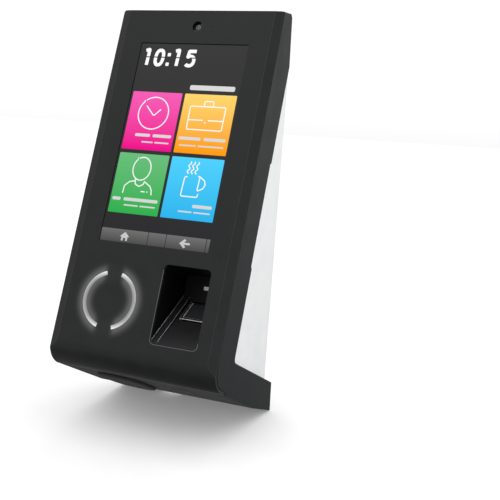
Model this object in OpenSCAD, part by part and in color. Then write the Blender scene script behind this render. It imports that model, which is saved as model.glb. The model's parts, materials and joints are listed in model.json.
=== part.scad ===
// Wall-hung fingerprint terminal: a white tub that stays on the wall, and a black
// L-shaped front with a portrait display, a badge ring and a finger well, which
// swings up on a rod along its top edge.
//
// Row frame: the wall is the plane Y = 0, the front looks along -Y, +Z is up, and the
// origin is the centre of the four wall holes. Front pieces are drawn in the front's
// own frame: X across, "down" along the front face from the display's top edge, and
// "deep" square into the case.

/* [Case] */
// Width of the black case over its two cheeks
body_w = 132.6; // [126:0.1:162]
// Angle between the front face and the wall
tilt = 20.7; // [17:0.1:25]
// Distance from the wall to the front face, level with the display's top edge
stand_off = 27; // [25:0.5:34]
// Height of the display's top edge above the middle of the wall holes
display_top_z = 120; // [100:1:144]
// Front face above the display
top_margin = 26.3; // [24:0.1:32]
// Flat front face below the display's top edge, down to where it rolls under
flat_len = 228.6; // [222:0.1:276]
// Depth of the black band seen from the side
band_depth = 30; // [26:0.5:36]
// Radius of the roll at the bottom of the front
roll_r = 18.4; // [15.5:0.1:20]
// Wall of the black mouldings
wall_t = 2.5; // [2:0.1:3]
// Thickness of the front fascia
fascia_t = 3; // [2.6:0.1:3.6]
// Width of the bevel down each side of the fascia
bevel_w = 6.3; // [4:0.1:8]
// Depth of that bevel
bevel_d = 1.8; // [1:0.1:2]

/* [Foot and tub] */
// Where the foot's top face starts, measured up from the start of the roll
foot_lead = 4; // [2:0.5:6]
// Slope of the foot's top face, as a rise for each unit of depth
foot_slope = 0.089; // [0.06:0.001:0.11]
// Wall of the white tub
tub_wall = 2.4; // [2:0.1:3]
// Back wall of the white tub
tub_back = 3; // [2.5:0.1:3.6]
// Draft angle of the tub's side walls
draft = 3.6; // [2:0.1:5]
// Radius of the hinge knuckles along the top edge
knuckle_r = 2.2; // [2:0.1:2.4]
// Diameter of the hinge rod
rod_d = 2; // [1.6:0.1:2.2]

/* [Display] */
// Visible width of the display
screen_w = 88; // [74:0.5:96]
// Visible height of the display
screen_h = 154.5; // [129:0.5:158]
// How far the glass lies below the front face
glass_recess = 1; // [0.6:0.1:1.2]
// Thickness of the touch glass
glass_t = 1.8; // [1.1:0.1:1.9]
// How far the glass reaches under the fascia on each side
glass_lap = 2; // [1.5:0.1:2.5]

/* [Badge ring] */
// Place of the ring across the case
ring_x = -24.75; // [-28:0.05:-24]
// Place of the ring down the front face
ring_down = 196.75; // [194:0.05:200]
// Outer radius of the glowing arcs
ring_r = 21.3; // [18:0.1:22]
// Width of the arcs
ring_band = 2.9; // [2.4:0.1:4]
// Angle left open between the two arcs, above and below
ring_gap = 35; // [20:1:60]

/* [Finger well] */
// Place of the well across the case
well_x = 31.4; // [28:0.1:33]
// Place of the well's middle down the front face
well_down = 194.15; // [192:0.05:196]
// Outer width of the well's mouth
well_w = 36.4; // [31:0.1:38]
// Outer height of the well's mouth
well_h = 56.5; // [48:0.1:58]
// Corner radius of the mouth
well_r = 3.5; // [2.5:0.1:6]
// Inner depth of the well
well_depth = 40; // [34:0.5:42]
// Width of the rail down each side of the chute
rail_w = 5.4; // [4:0.1:6.5]

/* [Wall fixing] */
// Sideways distance between the wall holes
hole_dx = 80; // [66:1:96]
// Height between the wall holes
hole_dz = 150; // [140:1:160]
// Diameter of the wall holes
hole_d = 5; // [4:0.1:6]
// Diameter of the cable hole in the tub's back
cable_d = 22; // [18:1:26]

/* [Lock] */
// Place of the lock across the case
lock_x = -21; // [-26:0.5:-16]
// Diameter of the lock barrel
barrel_d = 6.5; // [5.5:0.1:7.5]

/* [Fits] */
// Seam between neighbouring mouldings
seam = 0.2; // [0.15:0.05:0.3]
// Radial clearance of a turning or sliding fit
run_fit = 0.05; // [0.03:0.01:0.08]
// Gap between the tub and the swinging front
swing_gap = 0.4; // [0.35:0.05:0.6]

/* [Hidden] */
$fn = 48;

far = 150;                                   // further back than the wall reaches
edge_t = 2.2;                                // fascia thickness along its side edges
edge_w = 2.3;                                // width of that thin edge
fascia_w = body_w - 0.6;
cheek_in = body_w / 2 - wall_t;              // inner face of a cheek
lip_deep = roll_r + 5.6;                     // where the fascia's lower lip ends
bend_deep = 84;                              // where the underside flattens
front_slope = 0.105;                         // underside slope in front of the bend
rear_slope = 0.004;                          // underside slope behind it
step_from = 78.2;                            // stretch of the band that is a little shallower
step_to = 156.8;
step_d = 1.7;
corner_r = 4;                                // fillet between the band and the foot
foot_at = flat_len - foot_lead;
foot_back = 102;                             // a depth near the wall where the foot's roof is measured

// A point of the side profile, as [up, out] in the front's frame
function at(down, deep) = [-down, -deep];
function foot_top(deep) = foot_at + foot_slope * (deep - band_depth - corner_r);
function under(deep) = flat_len + roll_r + front_slope * (min(deep, bend_deep) - roll_r)
    + rear_slope * max(deep - bend_deep, 0);
// Depth at which the wall lies, and the row frame's height and distance from the wall
function wall_deep(down, clear = 0) = (stand_off + down * sin(tilt) - clear) / cos(tilt);
function height(down, deep) = display_top_z - down * cos(tilt) - deep * sin(tilt);
function off_wall(down, deep) = stand_off + down * sin(tilt) - deep * cos(tilt);
function top_line(deep) = -top_margin - tan(tilt) * deep;
top_z = height(-top_margin, 0);
knuckle_in = knuckle_r + 0.1;                // hinge axis from the wall and from the top
hinge_z = top_z - knuckle_in;
hinge_y = -knuckle_in;

// ---- Frames and plain shapes ----

module front() {
    translate([0, -stand_off, display_top_z]) rotate([90 - tilt, 0, 0]) children();
}

// Extrudes an [up, out] profile across the case, centred on x
module across(w, x = 0) {
    translate([x - w / 2, 0, 0]) rotate([90, 0, 90]) linear_extrude(w) children();
}

module before_wall(clear = 0) {
    intersection() {
        children();
        translate([-200, -300 - clear, -400]) cube([400, 300, 800]);
    }
}

module rounded(w, h, r) {
    if (r > 0) {
        square([w - 2 * r, h], center = true);
        square([w, h - 2 * r], center = true);
        for (sx = [-1, 1], sy = [-1, 1])
            translate([sx * (w / 2 - r), sy * (h / 2 - r)]) circle(r);
    } else square([w, h], center = true);
}

module oblong(w, h) {
    square([w - h, h], center = true);
    for (sx = [-1, 1]) translate([sx * (w - h) / 2, 0]) circle(h / 2);
}

// A slab parallel to the front face, from one depth and t thick
module slab(x, down, deep, w, h, t, r = 0) {
    translate([x, -down, -deep - t]) linear_extrude(t) rounded(w, h, r);
}

module post(x, down, deep, d, t) {
    translate([x, -down, -deep - t]) cylinder(d = d, h = t);
}

module screw(x, down, head_deep, shank_d, shank_l, head_d, head_t) {
    post(x, down, head_deep, head_d, head_t);
    post(x, down, head_deep - shank_l, shank_d, shank_l);
}

// A block on the wall side, standing off the wall
module block(x, z, off, w, h, t) {
    translate([x - w / 2, -off - t, z - h / 2]) cube([w, t, h]);
}

module stub(x, z, off, d, t) {
    translate([x, -off, z]) rotate([90, 0, 0]) cylinder(d = d, h = t);
}

module wall_screw(x, z, off, shank_d, shank_l, head_d, head_t) {
    stub(x, z, off, head_d, head_t);
    stub(x, z, off - shank_l, shank_d, shank_l);
}

module quarter(r) {
    translate(at(flat_len, roll_r)) intersection() {
        circle(r);
        translate([-r, 0]) square(r);
    }
}

// ---- White tub and what it holds ----

tub_deep = band_depth + seam;
tip_down = (tub_deep * cos(tilt) - stand_off) / sin(tilt);
function tub_half(deep) = body_w / 2 - 0.6 - (deep - band_depth) * tan(draft);

module tub_side() {
    polygon(concat(
        [at(tip_down - 30, tub_deep), at(step_from, tub_deep), at(step_from + 1, tub_deep - step_d),
            at(step_to - 1, tub_deep - step_d), at(step_to, tub_deep)],
        [for (a = [0:15:90]) at(foot_at - corner_r - swing_gap + corner_r * sin(a),
            tub_deep + corner_r - corner_r * cos(a))],
        [at(foot_top(far) - swing_gap, far), at(tip_down - 30, far)]));
}

module tub_hollow_side() {
    polygon([at(tip_down + tub_wall, 10), at(foot_at - tub_wall - swing_gap - 1.5, 10),
        at(foot_at - tub_wall - swing_gap - 1.5, tub_deep + 2),
        at(foot_top(far) - swing_gap - tub_wall - 0.4, far), at(tip_down + tub_wall, far)]);
}

module tub_plan(inset) {
    rotate([90, 0, 0]) translate([0, 0, -far]) linear_extrude(4 * far)
        polygon([[-tub_half(10) + inset, -10], [tub_half(10) - inset, -10],
            [tub_half(far) - inset, -far], [-tub_half(far) + inset, -far]]);
}

plate_w = 2 * tub_half(band_depth + 92);
tongue_t = 1.5;
tongue_out = cheek_in - swing_gap;
knuckle_l = 29;                              // length of each of the tub's two knuckles
knuckle_x = 25;

module wall_base() color("whitesmoke") difference() {
    union() {
        difference() {
            before_wall() intersection() {
                front() across(body_w) tub_side();
                front() tub_plan(0);
            }
            before_wall(tub_back) intersection() {
                front() across(body_w) tub_hollow_side();
                front() tub_plan(tub_wall);
            }
        }
        // Tongues that lie inside the black band
        for (sx = [-1, 1])
            front() translate([sx * (tongue_out - tongue_t / 2), -(foot_at + 12) / 2, -(tub_deep - 0.2)])
                cube([tongue_t, foot_at - 28, 8.4], center = true);
        // Back plate up to the hinge
        translate([-plate_w / 2, -tub_back, height(tip_down, tub_deep) - 20])
            cube([plate_w, tub_back, hinge_z - knuckle_r - swing_gap - height(tip_down, tub_deep) + 20]);
        for (sx = [-1, 1]) translate([sx * knuckle_x, 0, 0]) {
            translate([-knuckle_l / 2, hinge_y, hinge_z]) rotate([0, 90, 0])
                cylinder(r = knuckle_r, h = knuckle_l);
            translate([-knuckle_l / 2, -tub_back, hinge_z - 8]) cube([knuckle_l, tub_back, 8]);
        }
        // Bosses
        for (sx = [-1, 1], sz = [-1, 1]) {
            stub(sx * hole_dx / 2, sz * hole_dz / 2, 0, 12, tub_back + 3);
            stub(sx * board_dx / 2, board_z + sz * board_dz / 2, 1, 7, base_board_off - 1);
        }
        for (sx = [-1, 1]) stub(sx * clamp_dx / 2, clamp_z, 1, 7, clamp_off - 1);
        stub(catch_x, catch_boss_z, 1, 7, catch_off - 1);
    }
    for (sx = [-1, 1], sz = [-1, 1]) {
        stub(sx * hole_dx / 2, sz * hole_dz / 2, -1, hole_d, tub_back + 5);
        stub(sx * board_dx / 2, board_z + sz * board_dz / 2, 2, screw_bore, base_board_off);
    }
    for (sx = [-1, 1]) stub(sx * clamp_dx / 2, clamp_z, 2, screw_bore, clamp_off);
    stub(catch_x, catch_boss_z, 2, screw_bore, catch_off);
    stub(0, cable_z, -1, cable_d, tub_back + 2);
    translate([-body_w / 2, hinge_y, hinge_z]) rotate([0, 90, 0]) cylinder(d = rod_d, h = body_w);
    // Slots in the floor for the catch and for a cable from the foot
    translate([catch_x - catch_w / 2 - 0.5, -catch_front - 0.5, catch_low])
        cube([catch_w + 1, catch_t + 1, 40]);
    front() slab(pass_x, foot_at, pass_deep, pass_w, 24, pass_t);
}

module hinge_rod() color("silver")
    translate([-body_w / 2 + 3, hinge_y, hinge_z]) rotate([0, 90, 0])
        cylinder(d = rod_d, h = body_w - 6);

screw_bore = 2.5;
screw_shank = screw_bore - 0.04;
base_board_off = 9;
base_board_t = 1.6;
base_face = base_board_off + base_board_t;
board_z = -12;
board_dx = 74;
board_dz = 90;
cable_z = -hole_dz / 2 - 27;
clamp_dx = 34;
clamp_z = cable_z + cable_d / 2 + 8;
clamp_off = 10;

// Catch: a steel tongue from the tub's back wall down into the foot
catch_t = 2;
catch_w = 8;
lock_y = 8;                                  // lock axis, off the wall
lock_deep = (stand_off + (under(bend_deep) - rear_slope * bend_deep) * sin(tilt) - lock_y)
    / (cos(tilt) - rear_slope * sin(tilt));
lock_z = height(under(lock_deep), lock_deep); // underside at the lock axis
notch_h = 3;
bush_l = 7;
boss_top = lock_z + notch_h + bush_l;
cam_gap = 0.6;
cam_low = boss_top + cam_gap;
cam_t = 2;
cam_w = 6;
cam_l = 7.5;
catch_front = lock_y + cam_w / 2 + 0.6 + catch_t;
catch_x = lock_x + barrel_d / 2 + 1.35 + catch_w / 2;
catch_low = boss_top + 0.6;
catch_off = 5;
tub_floor_z = height(foot_top(foot_back), foot_back);
catch_top = tub_floor_z + 16;
catch_boss_z = catch_top + 7;

module catch_plate() color("silver") difference() {
    union() {
        translate([catch_x - catch_w / 2, -catch_front, catch_low])
            cube([catch_w, catch_t, catch_top - catch_low]);
        translate([catch_x - catch_w / 2, -catch_front, catch_top - catch_t])
            cube([catch_w, catch_front - catch_off, catch_t]);
        translate([catch_x - catch_w / 2, -catch_off - catch_t, catch_top - catch_t])
            cube([catch_w, catch_t, 13]);
    }
    stub(catch_x, catch_boss_z, catch_off - 1, 3, catch_t + 2);
}

module catch_screw() color("gainsboro")
    wall_screw(catch_x, catch_boss_z, catch_off + catch_t, screw_shank, 5, 5, 1.8);

module base_board() color("darkgreen") difference() {
    block(0, board_z, base_board_off, board_dx + 10, board_dz + 10, base_board_t);
    for (sx = [-1, 1], sz = [-1, 1])
        stub(sx * board_dx / 2, board_z + sz * board_dz / 2, base_board_off - 1, 3, base_board_t + 2);
}

module base_board_screws() color("gainsboro")
    for (sx = [-1, 1], sz = [-1, 1])
        wall_screw(sx * board_dx / 2, board_z + sz * board_dz / 2, base_face, screw_shank, 6, 5, 1.8);

module network_jack() color("silver") difference() {
    block(-24, board_z - 37, base_face, 16, 22, 13.4);
    block(-24, board_z - 44, base_face + 2.5, 12, 12, 8.5);
}

module power_block() color("limegreen") difference() {
    block(-4, board_z - 40, base_face, 12, 14, 12);
    for (sx = [-1, 1]) {
        block(-4 + sx * 2.8, board_z - 46, base_face + 2, 3.6, 6, 4);
        stub(-4 + sx * 2.8, board_z - 38, base_face + 8, 3, 5);
    }
}

module power_converter() color("dimgray") {
    block(19, board_z - 34, base_face, 26, 22, 10);
    block(19, board_z - 34, base_face + 10, 18, 15, 2);
}

module base_capacitors() color("midnightblue")
    for (i = [0:2]) stub(-34 + i * 11, board_z - 14, base_face, 8, 13);

// Contact head that meets the pads on the swinging front, square to its face
dock_x = 26;
dock_down = 94;
pad_deep = 20;
pin_l = 1.8;
dock_deep = pad_deep + 0.1 + pin_l;

module dock_head() color("black") {
    front() slab(dock_x, dock_down, dock_deep, 26, 9, 5);
    translate([dock_x - 12, -off_wall(dock_down, dock_deep + 2.5), height(dock_down, dock_deep + 2.5) - 4])
        cube([24, off_wall(dock_down, dock_deep + 2.5) - base_face, 8]);
}

module dock_pins() color("gold") front()
    for (i = [0:7]) post(dock_x - 9.8 + i * 2.8, dock_down, pad_deep + 0.1, 1.2, pin_l);

battery_x = -14;

module battery_holder() color("black") difference() {
    block(battery_x, board_z + 24, base_face, 54, 33, 5);
    block(battery_x, board_z + 24, base_face + 1.5, 51, 30, 6);
}

module backup_battery() color("royalblue")
    for (sz = [-1, 1]) translate([battery_x - 25, -base_face - 1.5 - 7.1, board_z + 24 + sz * 7.3]) rotate([0, 90, 0]) {
        cylinder(d = 14.2, h = 48.5);
        cylinder(d = 5.5, h = 50);
    }

tamper_x = 30;
tamper_z = board_z + 45;
tamper_tip = base_face + 10.5;

plunger_d = 3;

// The plunger's collar is held behind the housing's lip
module tamper_switch() color("dimgray") difference() {
    block(tamper_x, tamper_z, base_face, 7, 7, 8);
    stub(tamper_x, tamper_z, base_face + 1.5, plunger_d + 1.6, 5);
    stub(tamper_x, tamper_z, base_face + 5, plunger_d + 2 * run_fit, 8);
}

module tamper_plunger() color("ivory") {
    stub(tamper_x, tamper_z, base_face + 5.3, plunger_d, tamper_tip - base_face - 5.3);
    stub(tamper_x, tamper_z, base_face + 5.3, plunger_d + 0.9, 1.1);
}

reset_x = 36;
reset_z = board_z + 8;
reset_d = 3.2;

module reset_switch() color("dimgray") difference() {
    block(reset_x, reset_z, base_face, 6.4, 6.4, 3.8);
    stub(reset_x, reset_z, base_face + 0.8, reset_d + 1.5, 2);
    stub(reset_x, reset_z, base_face + 2, reset_d + 2 * run_fit, 4);
}

module reset_button() color("firebrick") {
    stub(reset_x, reset_z, base_face + 1.7, reset_d, 3.2);
    stub(reset_x, reset_z, base_face + 1.7, reset_d + 0.9, 1);
}

module cable_clamp() color("black") difference() {
    block(0, clamp_z, clamp_off, clamp_dx + 10, 9, 4);
    for (sx = [-1, 1]) stub(sx * clamp_dx / 2, clamp_z, clamp_off - 1, 3, 6);
    translate([0, -clamp_off + 6, clamp_z - 10]) cylinder(r = 8.5, h = 20);
}

module clamp_screws() color("gainsboro")
    for (sx = [-1, 1])
        wall_screw(sx * clamp_dx / 2, clamp_z, clamp_off + 4, screw_shank, 9, 5, 1.8);

// ---- Black shell and fascia ----

// Outline points behind the front: under the foot, up its back and along the band
function rear_points() = concat(
    [at(under(bend_deep), bend_deep), at(under(far), far),
        at(foot_top(far), far)],
    [for (a = [90:-15:0]) at(foot_at - corner_r + corner_r * sin(a),
        band_depth + corner_r - corner_r * cos(a))],
    [at(step_to, band_depth), at(step_to - 1, band_depth - step_d), at(step_from + 1, band_depth - step_d),
        at(step_from, band_depth), at(top_line(band_depth), band_depth)]);

shell_front = edge_t + seam;
shell_lip = lip_deep + seam;

module shell_side() {
    polygon(concat(
        [at(top_line(shell_front), shell_front), at(flat_len, shell_front),
            at(flat_len + roll_r - shell_front, roll_r),
            at(under(shell_lip) - shell_front, shell_lip), at(under(shell_lip), shell_lip)],
        rear_points()));
    quarter(roll_r - shell_front);
}

band_open = foot_at - 6.6;                   // lower end of the opening at the back of the band
module shell_hollow_side() {
    top_in = wall_t / cos(tilt);
    foot_low = under(far / 2) - wall_t;
    foot_high = foot_top(foot_back) + wall_t + 1;
    polygon([at(top_line(-5) + top_in, -5), at(flat_len + 2 * roll_r, -5), at(flat_len + 2 * roll_r, shell_lip),
        at(under(shell_lip) - wall_t, shell_lip), at(under(bend_deep) - wall_t, bend_deep),
        at(under(wall_deep(foot_low + 2)) - wall_t, wall_deep(foot_low + 2, wall_t)),
        at(foot_top(wall_deep(foot_high, wall_t)) + wall_t, wall_deep(foot_high, wall_t)),
        at(foot_top(band_depth) + wall_t + 0.3, band_depth),
        at(band_open, band_depth), at(band_open, band_depth + 10), at(top_line(60) + top_in, 60)]);
}

ear_deep = 12;
ear_t = 2.5;
ear_x = body_w / 2 - 9.3;
ear_downs = [10 - top_margin, 98, flat_len - 15.6];

// Slot through the foot's roof and the tub's floor for a cable
pass_x = -46;
pass_w = 14;
pass_deep = band_depth + 24;
pass_t = 18;

grommet_x = -27.5;
grommet_deep = 56.5;
grommet_w = 37;
grommet_l = 56;
grommet_groove = 2.5;

module grommet_shape(inset) {
    rotate(90) oblong(grommet_l - 2 * inset, grommet_w - 2 * inset);
}

module on_underside(x, deep) {
    front() translate([x, -under(deep), -deep]) rotate([90 - atan(front_slope), 0, 0]) children();
}

module main_shell() color("#2e2f31") difference() {
    union() {
        difference() {
            before_wall() front() across(body_w) shell_side();
            front() across(2 * cheek_in) shell_hollow_side();
            // The top's rear edge gives way to the hinge knuckles
            translate([-body_w / 2 - 1, hinge_y, hinge_z]) cube([body_w + 2, knuckle_r + 1, knuckle_r + 1]);
            translate([-cheek_in - 0.8, hinge_y, hinge_z - 1])
                cube([2 * cheek_in + 1.6, knuckle_r + 1, knuckle_r + 1]);
        }
        translate([0.3 - body_w / 2, hinge_y, hinge_z]) rotate([0, 90, 0])
            cylinder(r = knuckle_r, h = body_w - 0.6);
        // Ears for the fascia screws
        for (sx = [-1, 1], d = ear_downs)
            front() translate([sx * (cheek_in + ear_x - 4.5) / 2, -d, -ear_deep - ear_t / 2])
                cube([cheek_in - ear_x + 4.5 + 0.4, 9, ear_t], center = true);
        // Housing for the lock, which fills the foot's corner under the cam
        before_wall() intersection() {
            translate([lock_x - 9, -lock_y - 10, lock_z - 20]) cube([20, lock_y + 10, boss_top - lock_z + 20]);
            front() across(40, lock_x) polygon(concat([at(foot_at, 40)],
                [at(under(bend_deep), bend_deep), at(under(far), far), at(foot_at, far)]));
        }
    }
    // The top wall stops short of the thicker middle of the fascia
    front() translate([edge_w - fascia_w / 2 - seam, 0, -fascia_t - seam])
        cube([fascia_w - 2 * edge_w + 2 * seam, 60, 20]);
    // Room for the tub's knuckles
    for (sx = [-1, 1])
        translate([sx * knuckle_x - knuckle_l / 2 - swing_gap, hinge_y - knuckle_r - swing_gap,
            hinge_z - knuckle_r - swing_gap])
            cube([knuckle_l + 2 * swing_gap, 2 * knuckle_r + 2, 2 * knuckle_r + 2]);
    translate([-body_w / 2 - 1, hinge_y, hinge_z]) rotate([0, 90, 0])
        cylinder(d = rod_d + 2 * run_fit, h = body_w + 2);
    for (sx = [-1, 1], d = ear_downs) front() post(sx * ear_x, d, ear_deep - 1, 3.2, ear_t + 2);
    // Notch under the lock, its bore, and the way past the catch
    translate([lock_x - 7, -lock_y - 7, lock_z - 20]) cube([16, lock_y + 8, notch_h + 20]);
    translate([lock_x, -lock_y, lock_z]) cylinder(d = bush_d, h = 40);
    translate([catch_x - catch_w / 2 - 1, -catch_front - 2, boss_top])
        cube([catch_w + 2, catch_front + 3, 60]);
    translate([lock_x - cam_l - 0.5, -lock_y - cam_l - 0.5, boss_top])
        cube([cam_l * 2 + 1, lock_y + cam_l + 2, cam_t + 2]);
    front() slab(pass_x, foot_at, pass_deep, pass_w, 24, pass_t);
    on_underside(grommet_x, grommet_deep)
        translate([0, 0, -5]) linear_extrude(10) grommet_shape(grommet_groove);
}

module fascia_outside() {
    polygon([at(-top_margin, 0), at(flat_len, 0), at(flat_len, roll_r), at(flat_len + roll_r, roll_r),
        at(under(lip_deep), lip_deep), at(top_line(lip_deep), lip_deep)]);
    quarter(roll_r);
}

module fascia_inside(t) {
    polygon([at(-top_margin - 20, t), at(flat_len, t), at(flat_len, roll_r), at(flat_len + roll_r - t, roll_r),
        at(under(lip_deep) - t, lip_deep), at(under(lip_deep) - t, lip_deep + 10),
        at(-top_margin - 20, lip_deep + 10)]);
    quarter(roll_r - t);
}

module fascia_plan() {
    half = fascia_w / 2;
    rotate([90, 0, 0]) translate([0, 0, -far]) linear_extrude(4 * far)
        polygon([[-half, -60], [-half, -bevel_d], [bevel_w - half, 0], [half - bevel_w, 0],
            [half, -bevel_d], [half, -60]]);
}

camera_down = 12.7 - top_margin;
camera_d = 8.2;
mic_x = 12.6;
glass_deep = glass_recess;
gasket_t = 0.6;
lcd_deep = glass_deep + glass_t + gasket_t;
lcd_w = screen_w + 12;
lcd_h = screen_h + 10.5;
lcd_mid = screen_h / 2;
frame_wall = 0.8;
frame_back = lcd_deep + 2.6 + 2.2;
frame_tab = 5;
frame_top = lcd_mid - lcd_h / 2 - frame_wall - 0.3 - frame_tab + 0.4;
frame_low = lcd_mid + lcd_h / 2 + frame_wall + 0.3 + frame_tab - 1.4;
frame_points = [[-38, frame_top], [38, frame_top], [-38, frame_low], [3, frame_low]];
ring_deep = 9.8;
ring_boss_x = 9;

module ring_sector(r_out, r_in, gap) {
    difference() {
        circle(r_out, $fn = 96);
        circle(r_in, $fn = 96);
        polygon([[0, 0], [60 * sin(gap / 2), 60 * cos(gap / 2)], [-60 * sin(gap / 2), 60 * cos(gap / 2)]]);
        polygon([[0, 0], [60 * sin(gap / 2), -60 * cos(gap / 2)], [-60 * sin(gap / 2), -60 * cos(gap / 2)]]);
    }
}

module front_fascia() color("#2b2c2e") difference() {
    union() {
        intersection() {
            front() difference() {
                across(fascia_w) fascia_outside();
                across(fascia_w + 2) fascia_inside(fascia_t);
                for (sx = [-1, 1])
                    across(edge_w + 1, sx * (fascia_w - edge_w + 1) / 2) fascia_inside(edge_t);
            }
            front() fascia_plan();
        }
        front() {
            for (sx = [-1, 1], d = ear_downs) post(sx * ear_x, d, fascia_t - 0.5, 7, ear_deep - seam - fascia_t + 0.5);
            for (p = frame_points) post(p[0], p[1], fascia_t - 0.5, 5.6, frame_back - fascia_t + 0.5);
            for (sx = [-1, 1]) post(ring_x + sx * ring_boss_x, ring_down, fascia_t - 0.5, 6, ring_deep - fascia_t + 0.5);
        }
    }
    front() {
        slab(0, screen_h / 2, -1, screen_w, screen_h, 10);
        slab(0, screen_h / 2, glass_deep, screen_w + 2 * glass_lap + 0.2, screen_h + 2 * glass_lap + 0.2, 10);
        post(0, camera_down, -1, camera_d, 10);
        post(0, camera_down, glass_recess + 0.6, camera_d + 1.8, 10);
        post(mic_x, camera_down, -1, 1, 10);
        translate([ring_x, -ring_down, -10]) linear_extrude(20)
            ring_sector(ring_r, ring_r - ring_band, ring_gap);
        slab(well_x, well_down, -1, well_w, well_h, 10, well_r);
        for (sx = [-1, 1], d = ear_downs) post(sx * ear_x, d, 5, screw_bore, 20);
        for (p = frame_points) post(p[0], p[1], 4.5, 2, 20);
        for (sx = [-1, 1]) post(ring_x + sx * ring_boss_x, ring_down, 5, 2, 20);
    }
}

module fascia_screws() color("gainsboro") front()
    for (sx = [-1, 1], d = ear_downs)
        screw(sx * ear_x, d, ear_deep + ear_t, screw_shank, 8.5, 5.4, 1.8);

// ---- Display ----

module touch_glass() color("black") front()
    slab(0, screen_h / 2, glass_deep, screen_w + 2 * glass_lap, screen_h + 2 * glass_lap, glass_t);

module display_gasket() color("dimgray") front() difference() {
    slab(0, screen_h / 2, glass_deep + glass_t, screen_w + 2 * glass_lap, screen_h + 2 * glass_lap, gasket_t);
    slab(0, screen_h / 2, glass_deep, screen_w - 1, screen_h - 1, 5);
}

module lcd_panel() color("darkslategray") front() slab(0, lcd_mid, lcd_deep, lcd_w, lcd_h, 2.6);

module backlight() color("white") front() slab(0, lcd_mid, lcd_deep + 2.6, lcd_w, lcd_h, 2.2);

module lcd_frame() color("silver") front() difference() {
    union() {
        slab(0, lcd_mid, lcd_deep + 0.6, lcd_w + 2 * frame_wall + 0.6, lcd_h + 2 * frame_wall + 0.6,
            frame_back - lcd_deep - 0.6 + frame_wall);
        for (p = frame_points) slab(p[0], p[1], frame_back, 8, 2 * frame_tab, frame_wall);
    }
    slab(0, lcd_mid, -10, lcd_w + 0.6, lcd_h + 0.6, frame_back + 10);
    for (p = frame_points) post(p[0], p[1], frame_back - 1, 2.4, 5);
}

module frame_screws() color("gainsboro") front()
    for (p = frame_points) screw(p[0], p[1], frame_back + frame_wall, 1.96, 4, 4, 1.4);

// ---- Camera and microphone ----

module camera_window() color("darkslateblue") front()
    post(0, camera_down, glass_recess + 0.6, camera_d + 1.6, 1.2);

module camera_barrel() color("black") front() difference() {
    post(0, camera_down, fascia_t + 0.1, 7.4, 5);
    post(0, camera_down, fascia_t, 4.2, 1.6);
}

module camera_board() color("darkgreen") front()
    slab(0, camera_down, fascia_t + 5.1, 11, 10, 1.2);

module microphone() color("gainsboro") front() difference() {
    post(mic_x, camera_down, fascia_t, 4.8, 2);
    post(mic_x, camera_down, fascia_t - 1, 1, 1.6);
}

// ---- Badge ring ----

module ring_guide(side) {
    fit = 0.05;
    front() intersection() {
        translate([ring_x, -ring_down, 0]) union() {
            translate([0, 0, -ring_deep + 1]) linear_extrude(ring_deep - 1 + 0.15)
                ring_sector(ring_r - fit, ring_r - ring_band + fit, ring_gap + 0.4);
            translate([0, 0, -fascia_t - 1.4]) linear_extrude(1.4)
                ring_sector(ring_r + 1.4, ring_r - ring_band - 1.4, ring_gap + 0.4);
        }
        translate([ring_x + (side > 0 ? 0 : -40), -ring_down - 40, -30]) cube([40, 80, 60]);
    }
}

module ring_guide_left() color("white") ring_guide(-1);

module ring_guide_right() color("white") ring_guide(1);

module ring_lamps() color("lightyellow") front()
    for (sx = [-1, 1], a = [36:36:144])
        translate([ring_x, -ring_down, -ring_deep]) rotate([0, 0, 90 - sx * a])
            translate([ring_r - ring_band / 2 - 1.4, -1.6, 0]) cube([2.8, 3.2, 0.8]);

module ring_board() color("darkgreen") front() difference() {
    post(ring_x, ring_down, ring_deep, 54, 1.4);
    for (sx = [-1, 1]) post(ring_x + sx * ring_boss_x, ring_down, ring_deep - 1, 2.4, 5);
}

module ring_board_screws() color("gainsboro") front()
    for (sx = [-1, 1]) screw(ring_x + sx * ring_boss_x, ring_down, ring_deep + 1.4, 1.96, 5, 4, 1.4);

// ---- Finger well: a chute whose rails climb inwards at 45 degrees ----

well_wall = 1.4;
well_back = 0.2;                             // how far the chute's walls stand back from the mouth
well_top = well_down - well_h / 2 + well_wall;
well_low = well_down + well_h / 2 - well_wall;
ramp_lip = 1;                                // depth at which rails and floor part
floor_rate = 0.89;                           // the floor climbs a little less than the rails
chute_w = well_w + 2 * well_back;
chute_h = well_h + 2 * well_back;
chute_top = well_down - chute_h / 2;
function floor_down(deep) = well_low - (deep - ramp_lip) * floor_rate;

module well_void(rate) {
    polygon([at(chute_top, -1), at(chute_top, well_depth),
        at(well_low - (well_depth - ramp_lip) * rate, well_depth), at(well_low, ramp_lip),
        at(well_low + 3, ramp_lip - 3), at(chute_top, -2)]);
}

module on_ramp() {
    front() translate([well_x, -well_low, -ramp_lip]) rotate([-45, 0, 0]) children();
}

sensor_w = 18.8;
sensor_l = 21;
sensor_at = 29.3;
sensor_t = 6;

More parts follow.
